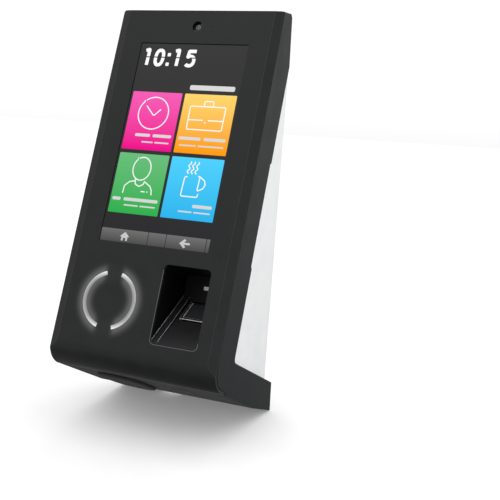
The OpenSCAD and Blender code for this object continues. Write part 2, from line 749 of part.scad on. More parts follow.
module finger_well() color("#141416") difference() {
    front() union() {
        intersection() {
            slab(well_x, well_down, fascia_t + 0.1, chute_w + 2 * well_wall, chute_h + 2 * well_wall,
                well_depth + well_wall - fascia_t, well_r + well_wall);
            across(chute_w + 2 * well_wall, well_x) polygon([at(chute_top - well_wall, 0),
                at(chute_top - well_wall, well_depth + well_wall),
                at(floor_down(well_depth) + well_wall * 1.4, well_depth + well_wall),
                at(well_low + 4, ramp_lip + well_wall), at(well_low + 4, 0)]);
        }
        slab(well_x, well_down, fascia_t + 0.1, chute_w + 2 * well_wall + 3.6, chute_h + 2 * well_wall + 3.6,
            1.3, well_r + 3);
        // The ramp's lip, which lies in the mouth
        intersection() {
            slab(well_x, well_down, 0.4, well_w - 2 * well_back, well_h - 2 * well_back, fascia_t,
                well_r - well_back);
            across(well_w, well_x) polygon([at(well_low - 4, 0), at(well_low - 4, fascia_t + 1),
                at(well_low + 4, fascia_t + 1), at(well_low + 4, 0)]);
        }
    }
    front() intersection() {
        slab(well_x, well_down, -1, chute_w, chute_h, well_depth + 2, well_r);
        union() {
            across(chute_w + 1, well_x) well_void(1);
            across(chute_w - 2 * rail_w, well_x) well_void(floor_rate);
        }
    }
    on_ramp() translate([-sensor_w / 2 - 0.1, sensor_at - 0.1, -12]) cube([sensor_w + 0.2, sensor_l + 0.2, 12.2]);
    front() slab(well_x - 1.4, lamp_down, well_depth - 1, lamp_w, lamp_h, 5);
}

lamp_down = well_top + 7;
lamp_w = 4;
lamp_h = 2.6;

module well_lamp() color("white") front()
    slab(well_x - 1.4, lamp_down, well_depth - 0.2, lamp_w - 0.1, lamp_h - 0.1, 3);

module sensor_body() color("#1c1c20") on_ramp() difference() {
    translate([-sensor_w / 2, sensor_at, -sensor_t]) cube([sensor_w, sensor_l, sensor_t]);
    translate([-sensor_w / 2 + 2, sensor_at + 2, -0.6 - 1.4]) cube([sensor_w - 4, sensor_l - 4, 5]);
}

module sensor_glass() color("#3a3d44") on_ramp()
    translate([-sensor_w / 2 + 2.1, sensor_at + 2.1, -2]) cube([sensor_w - 4.2, sensor_l - 4.2, 1.4]);

module sensor_board() color("darkgreen") on_ramp()
    translate([-sensor_w / 2 - 1, sensor_at - 1, -sensor_t - 1.4]) cube([sensor_w + 2, sensor_l + 2, 1.4]);

// ---- Main board ----

main_deep = frame_back + frame_wall + 5;
main_t = 1.6;
main_w = 94;
main_h = 138;
main_mid = 76;
main_back = main_deep + main_t;
standoffs = [for (sx = [-1, 1], sy = [-1, 1]) [sx * (main_w / 2 - 5), main_mid + sy * (main_h / 2 - 5)]];

module main_board() color("darkgreen") front() difference() {
    slab(0, main_mid, main_deep, main_w, main_h, main_t);
    for (p = standoffs) post(p[0], p[1], main_deep - 1, 2.7, 5);
}

module board_standoffs() color("goldenrod") front() difference() {
    for (p = standoffs) post(p[0], p[1], frame_back + frame_wall, 5, main_deep - frame_back - frame_wall);
    for (p = standoffs) post(p[0], p[1], frame_back + frame_wall + 1, 2.2, 10);
}

module board_screws() color("gainsboro") front()
    for (p = standoffs) screw(p[0], p[1], main_back, 2.16, 5, 4.6, 1.6);

module processor_shield() color("silver") front() {
    slab(-18, 52, main_back, 34, 30, 2.2);
    slab(-18, 52, main_back + 2.2, 30, 26, 0.6);
}

module buzzer() color("black") front() difference() {
    post(-30, 122, main_back, 12, 6);
    post(-30, 122, main_back + 2, 2, 5);
}

module clock_cell() color("silver") front() post(0, 122, main_back + 0.6, 20, 3.2);

module dock_pads() color("darkgreen") front()
    slab(dock_x, dock_down, main_back, 28, 12, pad_deep - main_back);

module tamper_post() color("black") front()
    post(tamper_x, post_down, main_back, 5, post_deep - main_back);

// The post ends just clear of the plunger's tip when the case is shut
post_down = (display_top_z - tamper_z) * cos(tilt) - (stand_off - tamper_tip) * sin(tilt);
post_deep = (display_top_z - tamper_z) * sin(tilt) + (stand_off - tamper_tip) * cos(tilt)
    - 1.5 * sin(tilt) - 0.15;

module strip(points, t) {
    for (i = [0:len(points) - 2]) {
        a = points[i];
        b = points[i + 1];
        d = b - a;
        translate(a) rotate(atan2(d[1], d[0])) translate([0, -t / 2]) square([norm(d) + t / 2, t]);
    }
}

module display_ribbon() color("chocolate") front()
    across(22, -14) strip([at(lcd_mid + lcd_h / 2 + 1.6, frame_back - 0.4), at(lcd_mid + lcd_h / 2 + 3.5, frame_back + 2),
        at(lcd_mid + lcd_h / 2 + 1, main_back + 2), at(main_mid + main_h / 2 - 6, main_back + 0.3)], 0.3);

module sensor_ribbon() color("chocolate") front()
    across(12, well_x) strip([at(190, 48.2), at(181, 46), at(160, 43),
        at(main_mid + main_h / 2, main_back + 6), at(main_mid + main_h / 2 - 8, main_back + 0.3)], 0.3);

module cable_grommet() color("#222224") on_underside(grommet_x, grommet_deep) {
    translate([0, 0, 0.02]) linear_extrude(1.2) grommet_shape(0);
    translate([0, 0, 1.22]) linear_extrude(0.6) grommet_shape(0.8);
    translate([0, 0, -wall_t - 0.3]) linear_extrude(wall_t + 0.4) grommet_shape(grommet_groove + 0.1);
    translate([0, 0, -wall_t - 2]) linear_extrude(1.8) grommet_shape(1);
}

// ---- Lock ----

bush_d = 11;

module lock_bush() color("goldenrod") difference() {
    translate([lock_x, -lock_y, lock_z + notch_h]) cylinder(d = bush_d - 0.04, h = bush_l);
    translate([lock_x, -lock_y, lock_z]) cylinder(d = barrel_d + 2 * run_fit, h = 40);
}

module lock_barrel() color("gainsboro") difference() {
    translate([lock_x, -lock_y, lock_z + notch_h - 1.6]) union() {
        cylinder(d = 8.6, h = 1.4);
        cylinder(d = barrel_d, h = 1.6 + bush_l + cam_gap);
    }
    translate([lock_x, -lock_y, lock_z + notch_h - 2]) cylinder(d = 3.6, h = 1.2, $fn = 6);
}

module lock_cam() color("silver")
    translate([lock_x, -lock_y, cam_low]) {
        cylinder(d = cam_w + 2, h = cam_t);
        translate([-cam_w / 2, 0, 0]) cube([cam_w, cam_l, cam_t]);
    }

wall_base();
hinge_rod();
catch_plate();
catch_screw();
base_board();
base_board_screws();
network_jack();
power_block();
power_converter();
base_capacitors();
dock_head();
dock_pins();
battery_holder();
backup_battery();
tamper_switch();
tamper_plunger();
reset_switch();
reset_button();
cable_clamp();
clamp_screws();
main_shell();
front_fascia();
fascia_screws();
touch_glass();
display_gasket();
lcd_panel();
backlight();
lcd_frame();
frame_screws();
camera_window();
camera_barrel();
camera_board();
microphone();
ring_guide_left();
ring_guide_right();
ring_lamps();
ring_board();
ring_board_screws();
finger_well();
well_lamp();
sensor_body();
sensor_glass();
sensor_board();
main_board();
board_standoffs();
board_screws();
processor_shield();
buzzer();
clock_cell();
dock_pads();
tamper_post();
display_ribbon();
sensor_ribbon();
cable_grommet();
lock_bush();
lock_barrel();
lock_cam();
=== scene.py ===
# %% [markdown]
# # A wall-hung fingerprint terminal
#
# The imported model gives the size and the place of every part. This lesson gives those
# parts their looks: satin black mouldings, a lit display, a glowing badge ring, a deep
# finger well and the boards behind them. What sits on a part takes its place from that
# part's own mesh. Only the display's picture is laid out from given numbers, in millimetres.

# %% Load the fixed frame
import bmesh
import bpy
import json
import math
from mathutils import Matrix, Vector


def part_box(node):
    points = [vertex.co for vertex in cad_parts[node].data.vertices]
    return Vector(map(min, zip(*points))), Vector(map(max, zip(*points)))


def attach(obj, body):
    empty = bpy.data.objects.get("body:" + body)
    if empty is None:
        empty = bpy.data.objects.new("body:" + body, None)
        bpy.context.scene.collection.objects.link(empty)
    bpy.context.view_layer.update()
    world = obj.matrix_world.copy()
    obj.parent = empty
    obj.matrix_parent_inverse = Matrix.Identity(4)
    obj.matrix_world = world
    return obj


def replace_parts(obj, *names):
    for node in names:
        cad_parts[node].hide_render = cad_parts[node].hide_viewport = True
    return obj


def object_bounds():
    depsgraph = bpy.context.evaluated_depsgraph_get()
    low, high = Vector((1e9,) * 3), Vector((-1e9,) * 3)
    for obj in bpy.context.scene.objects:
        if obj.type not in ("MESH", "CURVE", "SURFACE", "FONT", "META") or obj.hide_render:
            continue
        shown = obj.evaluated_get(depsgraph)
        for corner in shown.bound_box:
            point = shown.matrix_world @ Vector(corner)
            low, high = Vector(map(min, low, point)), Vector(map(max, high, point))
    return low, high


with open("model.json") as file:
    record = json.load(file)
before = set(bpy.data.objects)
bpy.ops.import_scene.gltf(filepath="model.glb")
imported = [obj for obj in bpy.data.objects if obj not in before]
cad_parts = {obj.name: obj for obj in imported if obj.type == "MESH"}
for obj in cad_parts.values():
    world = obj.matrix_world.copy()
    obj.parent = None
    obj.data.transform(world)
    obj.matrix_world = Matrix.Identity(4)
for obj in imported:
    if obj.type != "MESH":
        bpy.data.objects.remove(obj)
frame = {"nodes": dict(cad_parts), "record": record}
CAD_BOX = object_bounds()
MM = 0.001

# %% [markdown]
# The terminal leans back from its foot, and nearly everything on its face is drawn on
# that leaning plane. Working in three slanted directions is easier than turning every
# piece afterwards, so the touch glass is asked which way it faces, and the display's
# top edge becomes the zero line: x runs across, "down" runs down the face, and "lift"
# stands out of it. All three are in millimetres.

# %% Read the leaning front off the touch glass
glass = frame["nodes"]["touch_glass"].data
front_face = max(glass.polygons, key=lambda f: f.area * max(0.0, -f.normal.y))
OUT = front_face.normal.normalized()
RIGHT = Vector((1, 0, 0))
UP = OUT.cross(RIGHT).normalized()
GLASS_LAP = 2.0       # the glass reaches this far under the fascia
GLASS_RECESS = 1.0    # and lies this far behind the front face
ORIGIN = (UP * (max(v.co.dot(UP) for v in glass.vertices) - GLASS_LAP * MM)
          + OUT * (max(v.co.dot(OUT) for v in glass.vertices) + GLASS_RECESS * MM))
FACE = Matrix((RIGHT, UP, OUT)).transposed().to_4x4()
FACE.translation = ORIGIN


def at(x, down, lift=0.0):
    """A point on the leaning face, from millimetres."""
    return FACE @ Vector((x * MM, -down * MM, lift * MM))


print("lean from upright: %.1f degrees" % math.degrees(math.atan2(OUT.z, -OUT.y)))

# %% [markdown]
# Colours are easier to compare as the hex numbers seen on a screen, but shaders count
# in linear light. One function does that conversion for the whole lesson. The others
# add a node, set it and link it, which keeps each material readable.

# %% Colour and node helpers
def tint(code):
    """Turns an sRGB hex colour into the linear colour that shaders expect."""
    parts = [int(code[i:i + 2], 16) / 255 for i in (1, 3, 5)]
    linear = [c / 12.92 if c <= 0.04045 else ((c + 0.055) / 1.055) ** 2.4 for c in parts]
    return (*linear, 1.0)


def feed(node, values):
    """Sets a node's inputs from values, or links them from output sockets."""
    for key, value in values.items():
        if isinstance(value, bpy.types.NodeSocket):
            node.id_data.links.new(value, node.inputs[key])
        else:
            node.inputs[key].default_value = value


def add(tree, kind, inputs=None, **settings):
    """Adds one node, with its settings and inputs."""
    new = tree.nodes.new(kind)
    for key, value in settings.items():
        setattr(new, key, value)
    feed(new, inputs or {})
    return new


def reckon(tree, operation, *terms):
    """The result of one operation on numbers."""
    return add(tree, "ShaderNodeMath", dict(enumerate(terms)), operation=operation).outputs["Value"]


def reckon_vector(tree, operation, *terms):
    """The result of one operation on vectors: a number for a length or a dot product."""
    outputs = add(tree, "ShaderNodeVectorMath", dict(enumerate(terms)), operation=operation).outputs
    return outputs["Value" if operation in ("LENGTH", "DOT_PRODUCT") else "Vector"]


def mapped(tree, value, low, high, to_low=0.0, to_high=1.0, curve="LINEAR"):
    """A value carried from one range to another."""
    return add(tree, "ShaderNodeMapRange", {"Value": value, "From Min": low, "From Max": high, "To Min": to_low,
                                            "To Max": to_high}, interpolation_type=curve).outputs["Result"]


def noise(tree, where, size_mm, detail=1.0):
    """A cloudy pattern whose lumps are about that many millimetres apart."""
    return add(tree, "ShaderNodeTexNoise", {"Vector": where, "Scale": 1 / (size_mm * MM),
                                            "Detail": detail}).outputs["Fac"]


def ramp_of(tree, factor, stops):
    """A colour ramp from (position, hex colour) pairs."""
    node = add(tree, "ShaderNodeValToRGB", {"Fac": factor})
    band = node.color_ramp
    while len(band.elements) > 1:
        band.elements.remove(band.elements[-1])
    band.elements[0].position, band.elements[0].color = stops[0][0], tint(stops[0][1])
    for place, colour in stops[1:]:
        band.elements.new(place).color = tint(colour)
    return node.outputs["Color"]


def start_material(name):
    """An empty material with its surface shader and its object coordinates."""
    mat = bpy.data.materials.new(name)
    mat.use_nodes = True
    tree = mat.node_tree
    tree.nodes.clear()
    shader = add(tree, "ShaderNodeBsdfPrincipled")
    add(tree, "ShaderNodeOutputMaterial", {"Surface": shader.outputs["BSDF"]})
    where = add(tree, "ShaderNodeTexCoord").outputs["Object"]
    return mat, tree, shader, where


# %% [markdown]
# The case is injection-moulded plastic. Its mould was spark eroded, which leaves a fine
# even grain: matt pits about 0.35 mm apart that spread each highlight into a soft sheen.
# A larger, faint cloud in colour and in roughness stands for handling and for the way
# the melt cooled. The same recipe, with other numbers, makes the white tub, the rubber
# plug, the hidden black mouldings and the sleeve of the cells.

# %% Moulded plastics
CLOUD_MM = 14        # how far apart the faint changes of tone are
PIT_DEPTH = 0.02     # how deep the grain is, in millimetres


def moulded(name, dark, light, rough, grain_mm=0.35, bump=0.25, coat=0.0, level=0.5):
    """Grained plastic between two close colours."""
    mat, tree, shader, where = start_material(name)
    tone = noise(tree, where, CLOUD_MM, 3.0)
    pits = add(tree, "ShaderNodeBump", {"Height": noise(tree, where, grain_mm), "Strength": bump,
                                        "Distance": PIT_DEPTH * MM})
    feed(shader, {"Base Color": ramp_of(tree, tone, [(0.3, dark), (0.7, light)]),
                  "Roughness": mapped(tree, tone, 0.3, 0.7, rough - 0.04, rough + 0.05),
                  "Normal": pits.outputs["Normal"], "IOR": 1.49, "Specular IOR Level": level,
                  "Coat Weight": coat})
    return mat


# The cheeks and the foot are the fascia's plastic from another mould, without its glow.
shell_black = moulded("satin_black_abs", "#1c1e1f", "#222425", 0.45, level=0.1)
# Edges get a lighter colour, a painted highlight, and a smoother grain where hands and cloths polish them.
black_edge_highlight = moulded("painted_highlight_black_edge", "#333436", "#3b3c3e", 0.28, grain_mm=0.8, bump=0.08)
# The well's near-white edge lines are a painted highlight.
well_highlight = moulded("painted_well_rim_highlight", "#dcdde0", "#efeff2", 0.25, grain_mm=0.8, bump=0.05, level=0.8)
# The light line along the well's mouth is a painted highlight.
mouth_edge = moulded("painted_mouth_highlight", "#4c4d4f", "#5a5b5d", 0.3, grain_mm=0.8, bump=0.05)
# White ABS keeps a little more gloss than the black, so its edges draw thin bright lines.
tub_white = moulded("white_abs", "#f1f4f5", "#f8fafa", 0.38, grain_mm=0.5, bump=0.12)
# Inside the well the black is painted darker: painted shade, where light hardly finds its way out again.
well_shade_black = moulded("painted_shade_black_abs", "#070708", "#0b0b0c", 0.5, grain_mm=0.25, bump=0.15, level=0.2)
# The ramp faces up and out of the well; it is the lit copy of that black, lighter than the walls' painted
# shade.
ramp_lit_black = moulded("painted_lit_black_ramp", "#1f1f21", "#262628", 0.5, grain_mm=0.6, bump=0.08, level=0.3)
hidden_black = moulded("glass_filled_nylon", "#17181a", "#222326", 0.5, grain_mm=0.4, bump=0.3)
switch_grey = moulded("grey_pbt", "#55575a", "#66686b", 0.4)
signal_green = moulded("green_polyamide", "#2f8f3e", "#3fa64d", 0.35)
signal_red = moulded("red_polyamide", "#a3201c", "#bc2b25", 0.32)
ivory = moulded("ivory_acetal", "#d9d4c4", "#e6e2d4", 0.3)
cell_sleeve = moulded("blue_pvc_sleeve", "#2b4f9e", "#3560b6", 0.22, grain_mm=1.2, bump=0.1, coat=0.3)
backlight_film = moulded("diffuser_film", "#e4e4e6", "#efeff1", 0.5, grain_mm=0.8)
# Rubber is softer to the eye: no clear highlight, and a dusty bloom from a coarse grain.
plug_rubber = moulded("black_epdm_rubber", "#131314", "#1b1b1c", 0.62, grain_mm=0.6, bump=0.35)

# %% [markdown]
# The badge ring's light spills onto the black around it for a few millimetres. That
# spill is a painted glow in the fascia's own material. The shader measures how far a
# point of the face is from the ring's centre line and lets a little white light out
# there, falling off on both sides and fading over the two gaps.

# %% Satin black case with the ring's painted glow
ring_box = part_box("ring_board")
RING_MID = (ring_box[0] + ring_box[1]) / 2
guide_points = [v.co for n in ("ring_guide_left", "ring_guide_right") for v in frame["nodes"][n].data.vertices]
ring_top = max(p.dot(OUT) for p in guide_points)
rim = [p - RING_MID for p in guide_points if p.dot(OUT) > ring_top - 0.1 * MM]
RING_OUTER = max(math.hypot(p.dot(RIGHT), p.dot(UP)) for p in rim)
RING_INNER = min(math.hypot(p.dot(RIGHT), p.dot(UP)) for p in rim)
print("ring: %.1f to %.1f mm radius" % (RING_INNER / MM, RING_OUTER / MM))


def ring_place(tree, where):
    """Sockets for a point's offset right and up from the ring's centre, and its radius."""
    offset = reckon_vector(tree, "SUBTRACT", where, RING_MID)
    side = reckon_vector(tree, "DOT_PRODUCT", offset, RIGHT)
    rise = reckon_vector(tree, "DOT_PRODUCT", offset, UP)
    plane = add(tree, "ShaderNodeCombineXYZ", {"X": side, "Y": rise}).outputs["Vector"]
    return side, rise, reckon_vector(tree, "LENGTH", plane)


case_black = moulded("satin_black_polycarbonate", "#1b1c1d", "#202122", 0.42, grain_mm=0.3, bump=0.22,
                     level=0.2)
tree = case_black.node_tree
side, rise, reach = ring_place(tree, add(tree, "ShaderNodeTexCoord").outputs["Object"])
# Painted glow: the ring's light on the fascia, strongest next to the ring and fading over its two gaps.
away = reckon(tree, "ABSOLUTE", reckon(tree, "SUBTRACT", reach, (RING_OUTER + RING_INNER) / 2))
fall = mapped(tree, away, 1.0 * MM, 10.5 * MM, 1.0, 0.0, "SMOOTHERSTEP")
gap = mapped(tree, reckon(tree, "ABSOLUTE", side), 3.5 * MM, 9.5 * MM, 0.12, 1.0, "SMOOTHSTEP")
spill = reckon(tree, "POWER", reckon(tree, "MULTIPLY", fall, gap), 1.15)
normal = add(tree, "ShaderNodeNewGeometry").outputs["Normal"]
face_on = mapped(tree, reckon_vector(tree, "DOT_PRODUCT", normal, OUT), 0.7, 0.95)
glow = ramp_of(tree, reckon(tree, "MULTIPLY", spill, face_on),
               [(0.0, "#000000"), (0.3, "#202020"), (0.7, "#404040"), (1.0, "#585858")])
feed(tree.nodes["Principled BSDF"], {"Emission Color": glow, "Emission Strength": 1.0})

# %% [markdown]
# The diffusers are milky acrylic that lets light through. In the ring the lamps shine in
# at the ends of each arc, so the ends glow most, and so does the outer rim, where the
# light leaves the guide.

# %% Diffusers and film
ring_light, tree, shader, where = start_material("opal_acrylic_lit")
side, rise, reach = ring_place(tree, where)
toward_end = mapped(tree, reckon(tree, "ABSOLUTE", rise), 0.0, RING_OUTER)
brightness = ramp_of(tree, toward_end, [(0.0, "#9c9c9c"), (0.6, "#a6a6a6"), (0.85, "#cfcfcf"),
                                        (0.97, "#f2f2f2")])
feed(shader, {"Emission Color": brightness,
              "Emission Strength": mapped(tree, reach, RING_INNER, RING_OUTER, 0.55, 1.15),
              "Base Color": tint("#303030"), "Roughness": 0.35})

lamp_light, tree, shader, where = start_material("white_led")
feed(shader, {"Emission Color": ramp_of(tree, noise(tree, where, 1.5), [(0.35, "#747476"), (0.65, "#8c8c90")]),
              "Emission Strength": 0.9, "Base Color": tint("#303030"), "Roughness": 0.35})

# Amber film over copper tracks: a wave pattern draws the tracks.
ribbon_film, tree, shader, where = start_material("polyimide_film")
tracks = add(tree, "ShaderNodeTexWave", {"Vector": where, "Scale": 1 / (3.1 * MM), "Distortion": 0.0},
             wave_type="BANDS", bands_direction="X").outputs["Fac"]
feed(shader, {"Base Color": ramp_of(tree, tracks, [(0.35, "#8a4a12"), (0.6, "#c98a3a")]), "Roughness": 0.28})

# %% [markdown]
# Metals need little colour and a lot of surface. Sheet steel keeps the fine lines of the
# rolling mill, so its noise is stretched along one direction. Turned brass and the lock's
# nickel keep rings too fine to see, so they only vary in roughness.

# %% Metals
def metal(name, dark, light, rough, stretch=(1, 1, 1), line_mm=0.4, bump=0.12):
    """Bare metal with fine lines; stretch says how the lines run."""
    mat, tree, shader, where = start_material(name)
    along = add(tree, "ShaderNodeMapping", {"Vector": where, "Scale": stretch}).outputs["Vector"]
    lines = noise(tree, along, line_mm, 2.0)
    scratch = add(tree, "ShaderNodeBump", {"Height": lines, "Strength": bump, "Distance": 0.01 * MM})
    feed(shader, {"Base Color": ramp_of(tree, lines, [(0.3, dark), (0.7, light)]),
                  "Roughness": mapped(tree, lines, 0.0, 1.0, rough - 0.06, rough + 0.08),
                  "Normal": scratch.outputs["Normal"], "Metallic": 1.0})
    return mat


zinc_steel = metal("zinc_plated_steel", "#a9abae", "#c6c8cb", 0.3, stretch=(0.08, 1, 1))
satin_nickel = metal("satin_nickel", "#8f9092", "#a6a7a9", 0.3, line_mm=1.0, bump=0.05)
turned_brass = metal("turned_brass", "#b08a3e", "#c9a557", 0.28)
gold_plate = metal("gold_plating", "#d1a34a", "#e4bd68", 0.2, line_mm=0.3)

# %% [markdown]
# A circuit board is green lacquer over copper tracks. Where a track runs, the lacquer
# looks paler and stands a hair higher. A brick pattern with broken courses reads as
# tracks at this size, and small voronoi dots stand for the plated holes.

# %% Circuit board
board_green, tree, shader, where = start_material("green_solder_mask")
flat = add(tree, "ShaderNodeMapping", {"Vector": where, "Rotation": (math.radians(90), 0, 0)})
runs = add(tree, "ShaderNodeTexBrick", {"Vector": flat.outputs["Vector"], "Color1": tint("#1b5a33"),
                                        "Color2": tint("#1f6439"), "Mortar": tint("#2f8050"),
                                        "Scale": 1.0, "Mortar Size": 0.25 * MM, "Mortar Smooth": 0.2,
                                        "Brick Width": 7.3 * MM, "Row Height": 1.9 * MM})
holes = add(tree, "ShaderNodeTexVoronoi", {"Vector": where, "Scale": 1 / (4.5 * MM)}).outputs["Distance"]
dots = ramp_of(tree, holes, [(0.08, "#c9b47a"), (0.1, "#1d5f36")])
mix = add(tree, "ShaderNodeMix", {"Factor": reckon(tree, "LESS_THAN", holes, 0.09)}, data_type="RGBA")
under, over = [s for s in mix.inputs if s.type == "RGBA"]
tree.links.new(runs.outputs["Color"], under)
tree.links.new(dots, over)
step = add(tree, "ShaderNodeBump", {"Height": runs.outputs["Fac"], "Strength": 0.3, "Distance": 0.03 * MM})
feed(shader, {"Base Color": [s for s in mix.outputs if s.type == "RGBA"][0], "Normal": step.outputs["Normal"],
              "Roughness": 0.32})

# %% [markdown]
# Glass over a dark screen is black to the eye with one clean reflection. The coated
# finger sensor is softer, with a faint grid where its electrodes lie. The camera's lens
# is dark, with a paler ring painted into its colour as a reflection of its coating.

# %% Glass
screen_glass, tree, shader, where = start_material("black_backed_glass")
smear = noise(tree, where, 22, 4.0)
feed(shader, {"Base Color": ramp_of(tree, smear, [(0.3, "#0c0c0d"), (0.7, "#111112")]),
              "Roughness": mapped(tree, smear, 0.0, 1.0, 0.06, 0.18), "IOR": 1.5})

platen_glass, tree, shader, where = start_material("coated_sensor_glass")
grid = add(tree, "ShaderNodeTexBrick", {"Vector": where, "Color1": tint("#303133"), "Color2": tint("#343537"),
                                        "Mortar": tint("#414244"), "Scale": 1.0, "Mortar Size": 0.12 * MM,
                                        "Brick Width": 1.2 * MM, "Row Height": 1.2 * MM})
feed(shader, {"Base Color": grid.outputs["Color"], "IOR": 1.6,
              "Roughness": mapped(tree, noise(tree, where, 5, 3.0), 0.0, 1.0, 0.12, 0.3)})

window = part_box("camera_window")
WINDOW_MID = (window[0] + window[1]) / 2
lens_glass, tree, shader, where = start_material("coated_lens_glass")
reach = reckon_vector(tree, "LENGTH", reckon_vector(tree, "SUBTRACT", where, WINDOW_MID))
painted_reflection_zone = mapped(tree, reach, 0.0, 4.5 * MM)
# The paler band at about 1.9 mm from the middle is a painted reflection.
feed(shader, {"Base Color": ramp_of(tree, painted_reflection_zone, [(0.0, "#1c1c1d"), (0.2, "#2c2c2e"), (0.42, "#48484a"),
                                                 (0.5, "#1e1e1f"), (0.8, "#0e0e0f")]),
              "Roughness": mapped(tree, noise(tree, where, 0.8), 0.0, 1.0, 0.05, 0.12),
              "Coat Weight": 0.1, "Coat Roughness": 0.3})

# %% [markdown]
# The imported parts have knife-sharp edges, and sharp edges never catch the light. A real
# moulding has a small radius on every edge, and the eye reads a thing as solid by the
# thin bright line there. A part's own mesh may not be changed, so a copy is merged, its
# flat faces are joined up, and a Bevel modifier rounds it. The copy then stands in for
# the part.

# %% Round the edges of the mouldings
def placed(name, data):
    """A new object in the scene."""
    thing = bpy.data.objects.new(name, data)
    bpy.context.scene.collection.objects.link(thing)
    return thing


def applied(thing):
    """The plain mesh of an object with its modifiers done. The object goes."""
    mesh = bpy.data.meshes.new_from_object(thing.evaluated_get(bpy.context.evaluated_depsgraph_get()))
    bpy.data.objects.remove(thing)
    return mesh


def mesh_of(form, name):
    """Turns an editable form into a mesh."""
    mesh = bpy.data.meshes.new(name)
    form.to_mesh(mesh)
    form.free()
    return mesh


def paint(mesh, *materials):
    """Gives a mesh these materials in place of its own."""
    mesh.materials.clear()
    for material in materials:
        mesh.materials.append(material)


def as_piece(mesh, name, body, smooth=40):
    """Wraps a finished mesh as a piece that rides on a body."""
    mesh.set_sharp_from_angle(angle=math.radians(smooth))
    piece = placed(name, mesh)
    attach(piece, body)
    return piece


def body_of(node):
    """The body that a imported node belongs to."""
    bodies = frame["record"]["behaviour"]["bodies"]
    return next(name for name, held in bodies.items() if node in held)


WELD = 0.002 * MM    # points closer than this are one point
BROAD = 2.0 * MM     # the radius on the few edges that are well rounded


def softened(node, radius_mm, material, segments=2, angle=28, edge=None, broad=None):
    """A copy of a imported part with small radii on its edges, standing in for it.

    The edges whose two ends both pass the test in broad get a larger radius first."""
    mesh = frame["nodes"][node].data.copy()
    form = bmesh.new()
    form.from_mesh(mesh)
    bmesh.ops.remove_doubles(form, verts=form.verts, dist=WELD)
    bmesh.ops.dissolve_limit(form, angle_limit=math.radians(0.4), verts=form.verts, edges=form.edges)
    if broad:
        chosen = [e for e in form.edges if e.calc_length() > 0.2 * MM and all(broad(v.co) for v in e.verts)
                  and len(e.link_faces) == 2 and e.calc_face_angle() > math.radians(40)]
        bmesh.ops.bevel(form, geom=chosen, offset=BROAD, segments=5, profile=0.5, affect="EDGES",
                        clamp_overlap=True)
    form.to_mesh(mesh)
    form.free()
    paint(mesh, *[m for m in (material, edge) if m])
    copy = placed(node + "_copy", mesh)
    bevel = copy.modifiers.new("edge_radius", "BEVEL")
    bevel.width = radius_mm * MM
    bevel.segments = segments
    bevel.limit_method = "ANGLE"
    bevel.angle_limit = math.radians(angle)
    bevel.use_clamp_overlap = True
    bevel.harden_normals = True
    # The bevel's faces take the second material, which paints a highlight along the edges.
    if edge:
        bevel.material = 1
    piece = placed(node + "_look", applied(copy))
    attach(piece, body_of(node))
    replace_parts(piece, node)
    print(piece.name, len(piece.data.polygons), "faces")
    return piece


def repaint(piece, old, new, test):
    """Moves the faces that pass a test from one of a piece's materials to another."""
    for face in piece.data.polygons:
        if face.material_index == old and test(face):
            face.material_index = new


def depth_of(point):
    """How far a point stands out of the leaning face, in millimetres."""
    return (point - ORIGIN).dot(OUT) / MM


SIDE = max(abs(v.co.x) for v in frame["nodes"]["main_shell"].data.vertices)
TOP = max(v.co.z for v in frame["nodes"]["main_shell"].data.vertices)


def top_corner(point):
    """Whether a point lies on one of the two corners between the top and the cheeks."""
    return abs(point.x) > SIDE - 0.4 * MM and point.z > TOP - 0.1 * MM


def heel(point):
    """Whether a point lies on the foot's lower rear edge, against the wall."""
    return point.y > -0.05 * MM and point.z < CAD_BOX[0].z + 6 * MM


fascia = softened("front_fascia", 0.45, case_black, angle=14, edge=black_edge_highlight, broad=top_corner)
# The corners along the roll get no painted highlight and stay as dark as the rest, and so do the foot's front
# edges.
repaint(fascia, 1, 0, lambda f: depth_of(f.center) < -4)
shell = softened("main_shell", 0.45, shell_black, edge=black_edge_highlight,
                 broad=lambda p: top_corner(p) or heel(p))
well_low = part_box("finger_well")[0].z
repaint(shell, 1, 0, lambda f: f.center.z < well_low and f.center.y < -60 * MM)
softened("wall_base", 0.4, tub_white)

# The rails' edges get a painted highlight; the lip and the far walls don't, and the ramp gets a lighter black
# than the walls' painted shade.
well = softened("finger_well", 0.3, well_shade_black, edge=well_highlight)
well.data.materials.append(ramp_lit_black)
CLIMB = (UP + OUT).normalized()
ramp_height = max(f.center.dot(CLIMB) for f in well.data.polygons
                  if f.normal.dot(CLIMB) > 0.97 and f.area > 20 * MM * MM)
repaint(well, 0, 2, lambda f: f.normal.dot(CLIMB) > 0.97)
repaint(well, 1, 0, lambda f: not (abs(f.center.dot(CLIMB) - ramp_height) < 1.2 * MM
                                   and -36 < depth_of(f.center) < -1.6))
softened("cable_grommet", 1.1, plug_rubber, segments=4)
softened("lock_barrel", 0.25, satin_nickel)

# Only the sensor's near and left edges get the painted highlight; the rest of it is painted shade.
sensor = softened("sensor_body", 0.3, well_shade_black, edge=well_highlight)
middle = sum((f.center for f in sensor.data.polygons), Vector()) / len(sensor.data.polygons)
repaint(sensor, 1, 0, lambda f: not ((f.center - middle).dot(OUT - UP) > 7 * MM
                                     or f.center.x < middle.x - 6 * MM))

# %% [markdown]
# What the display shows is drawn as very thin real pieces that give out their own light,
# laid on the glass in steps of a few hundredths of a millimetre: first the dark ground,
# then the coloured tiles, then the white signs. Words are left out. Plain bars stand
# where a real screen has its labels.

# %% Draw flat panels on the glass
CORNER_STEPS = 5


def rounded(x0, x1, top, low, r):
    """The outline of a rounded rectangle on the face, in millimetres."""
    corners = [(x1 - r, top + r, 90), (x0 + r, top + r, 180), (x0 + r, low - r, 270), (x1 - r, low - r, 0)]
    points = []
    for cx, cd, turn in corners:
        for i in range(CORNER_STEPS + 1):
            a = math.radians(turn - 90 + 90 * i / CORNER_STEPS)
            points.append((cx + r * math.cos(a), cd - r * math.sin(a)))
    return points


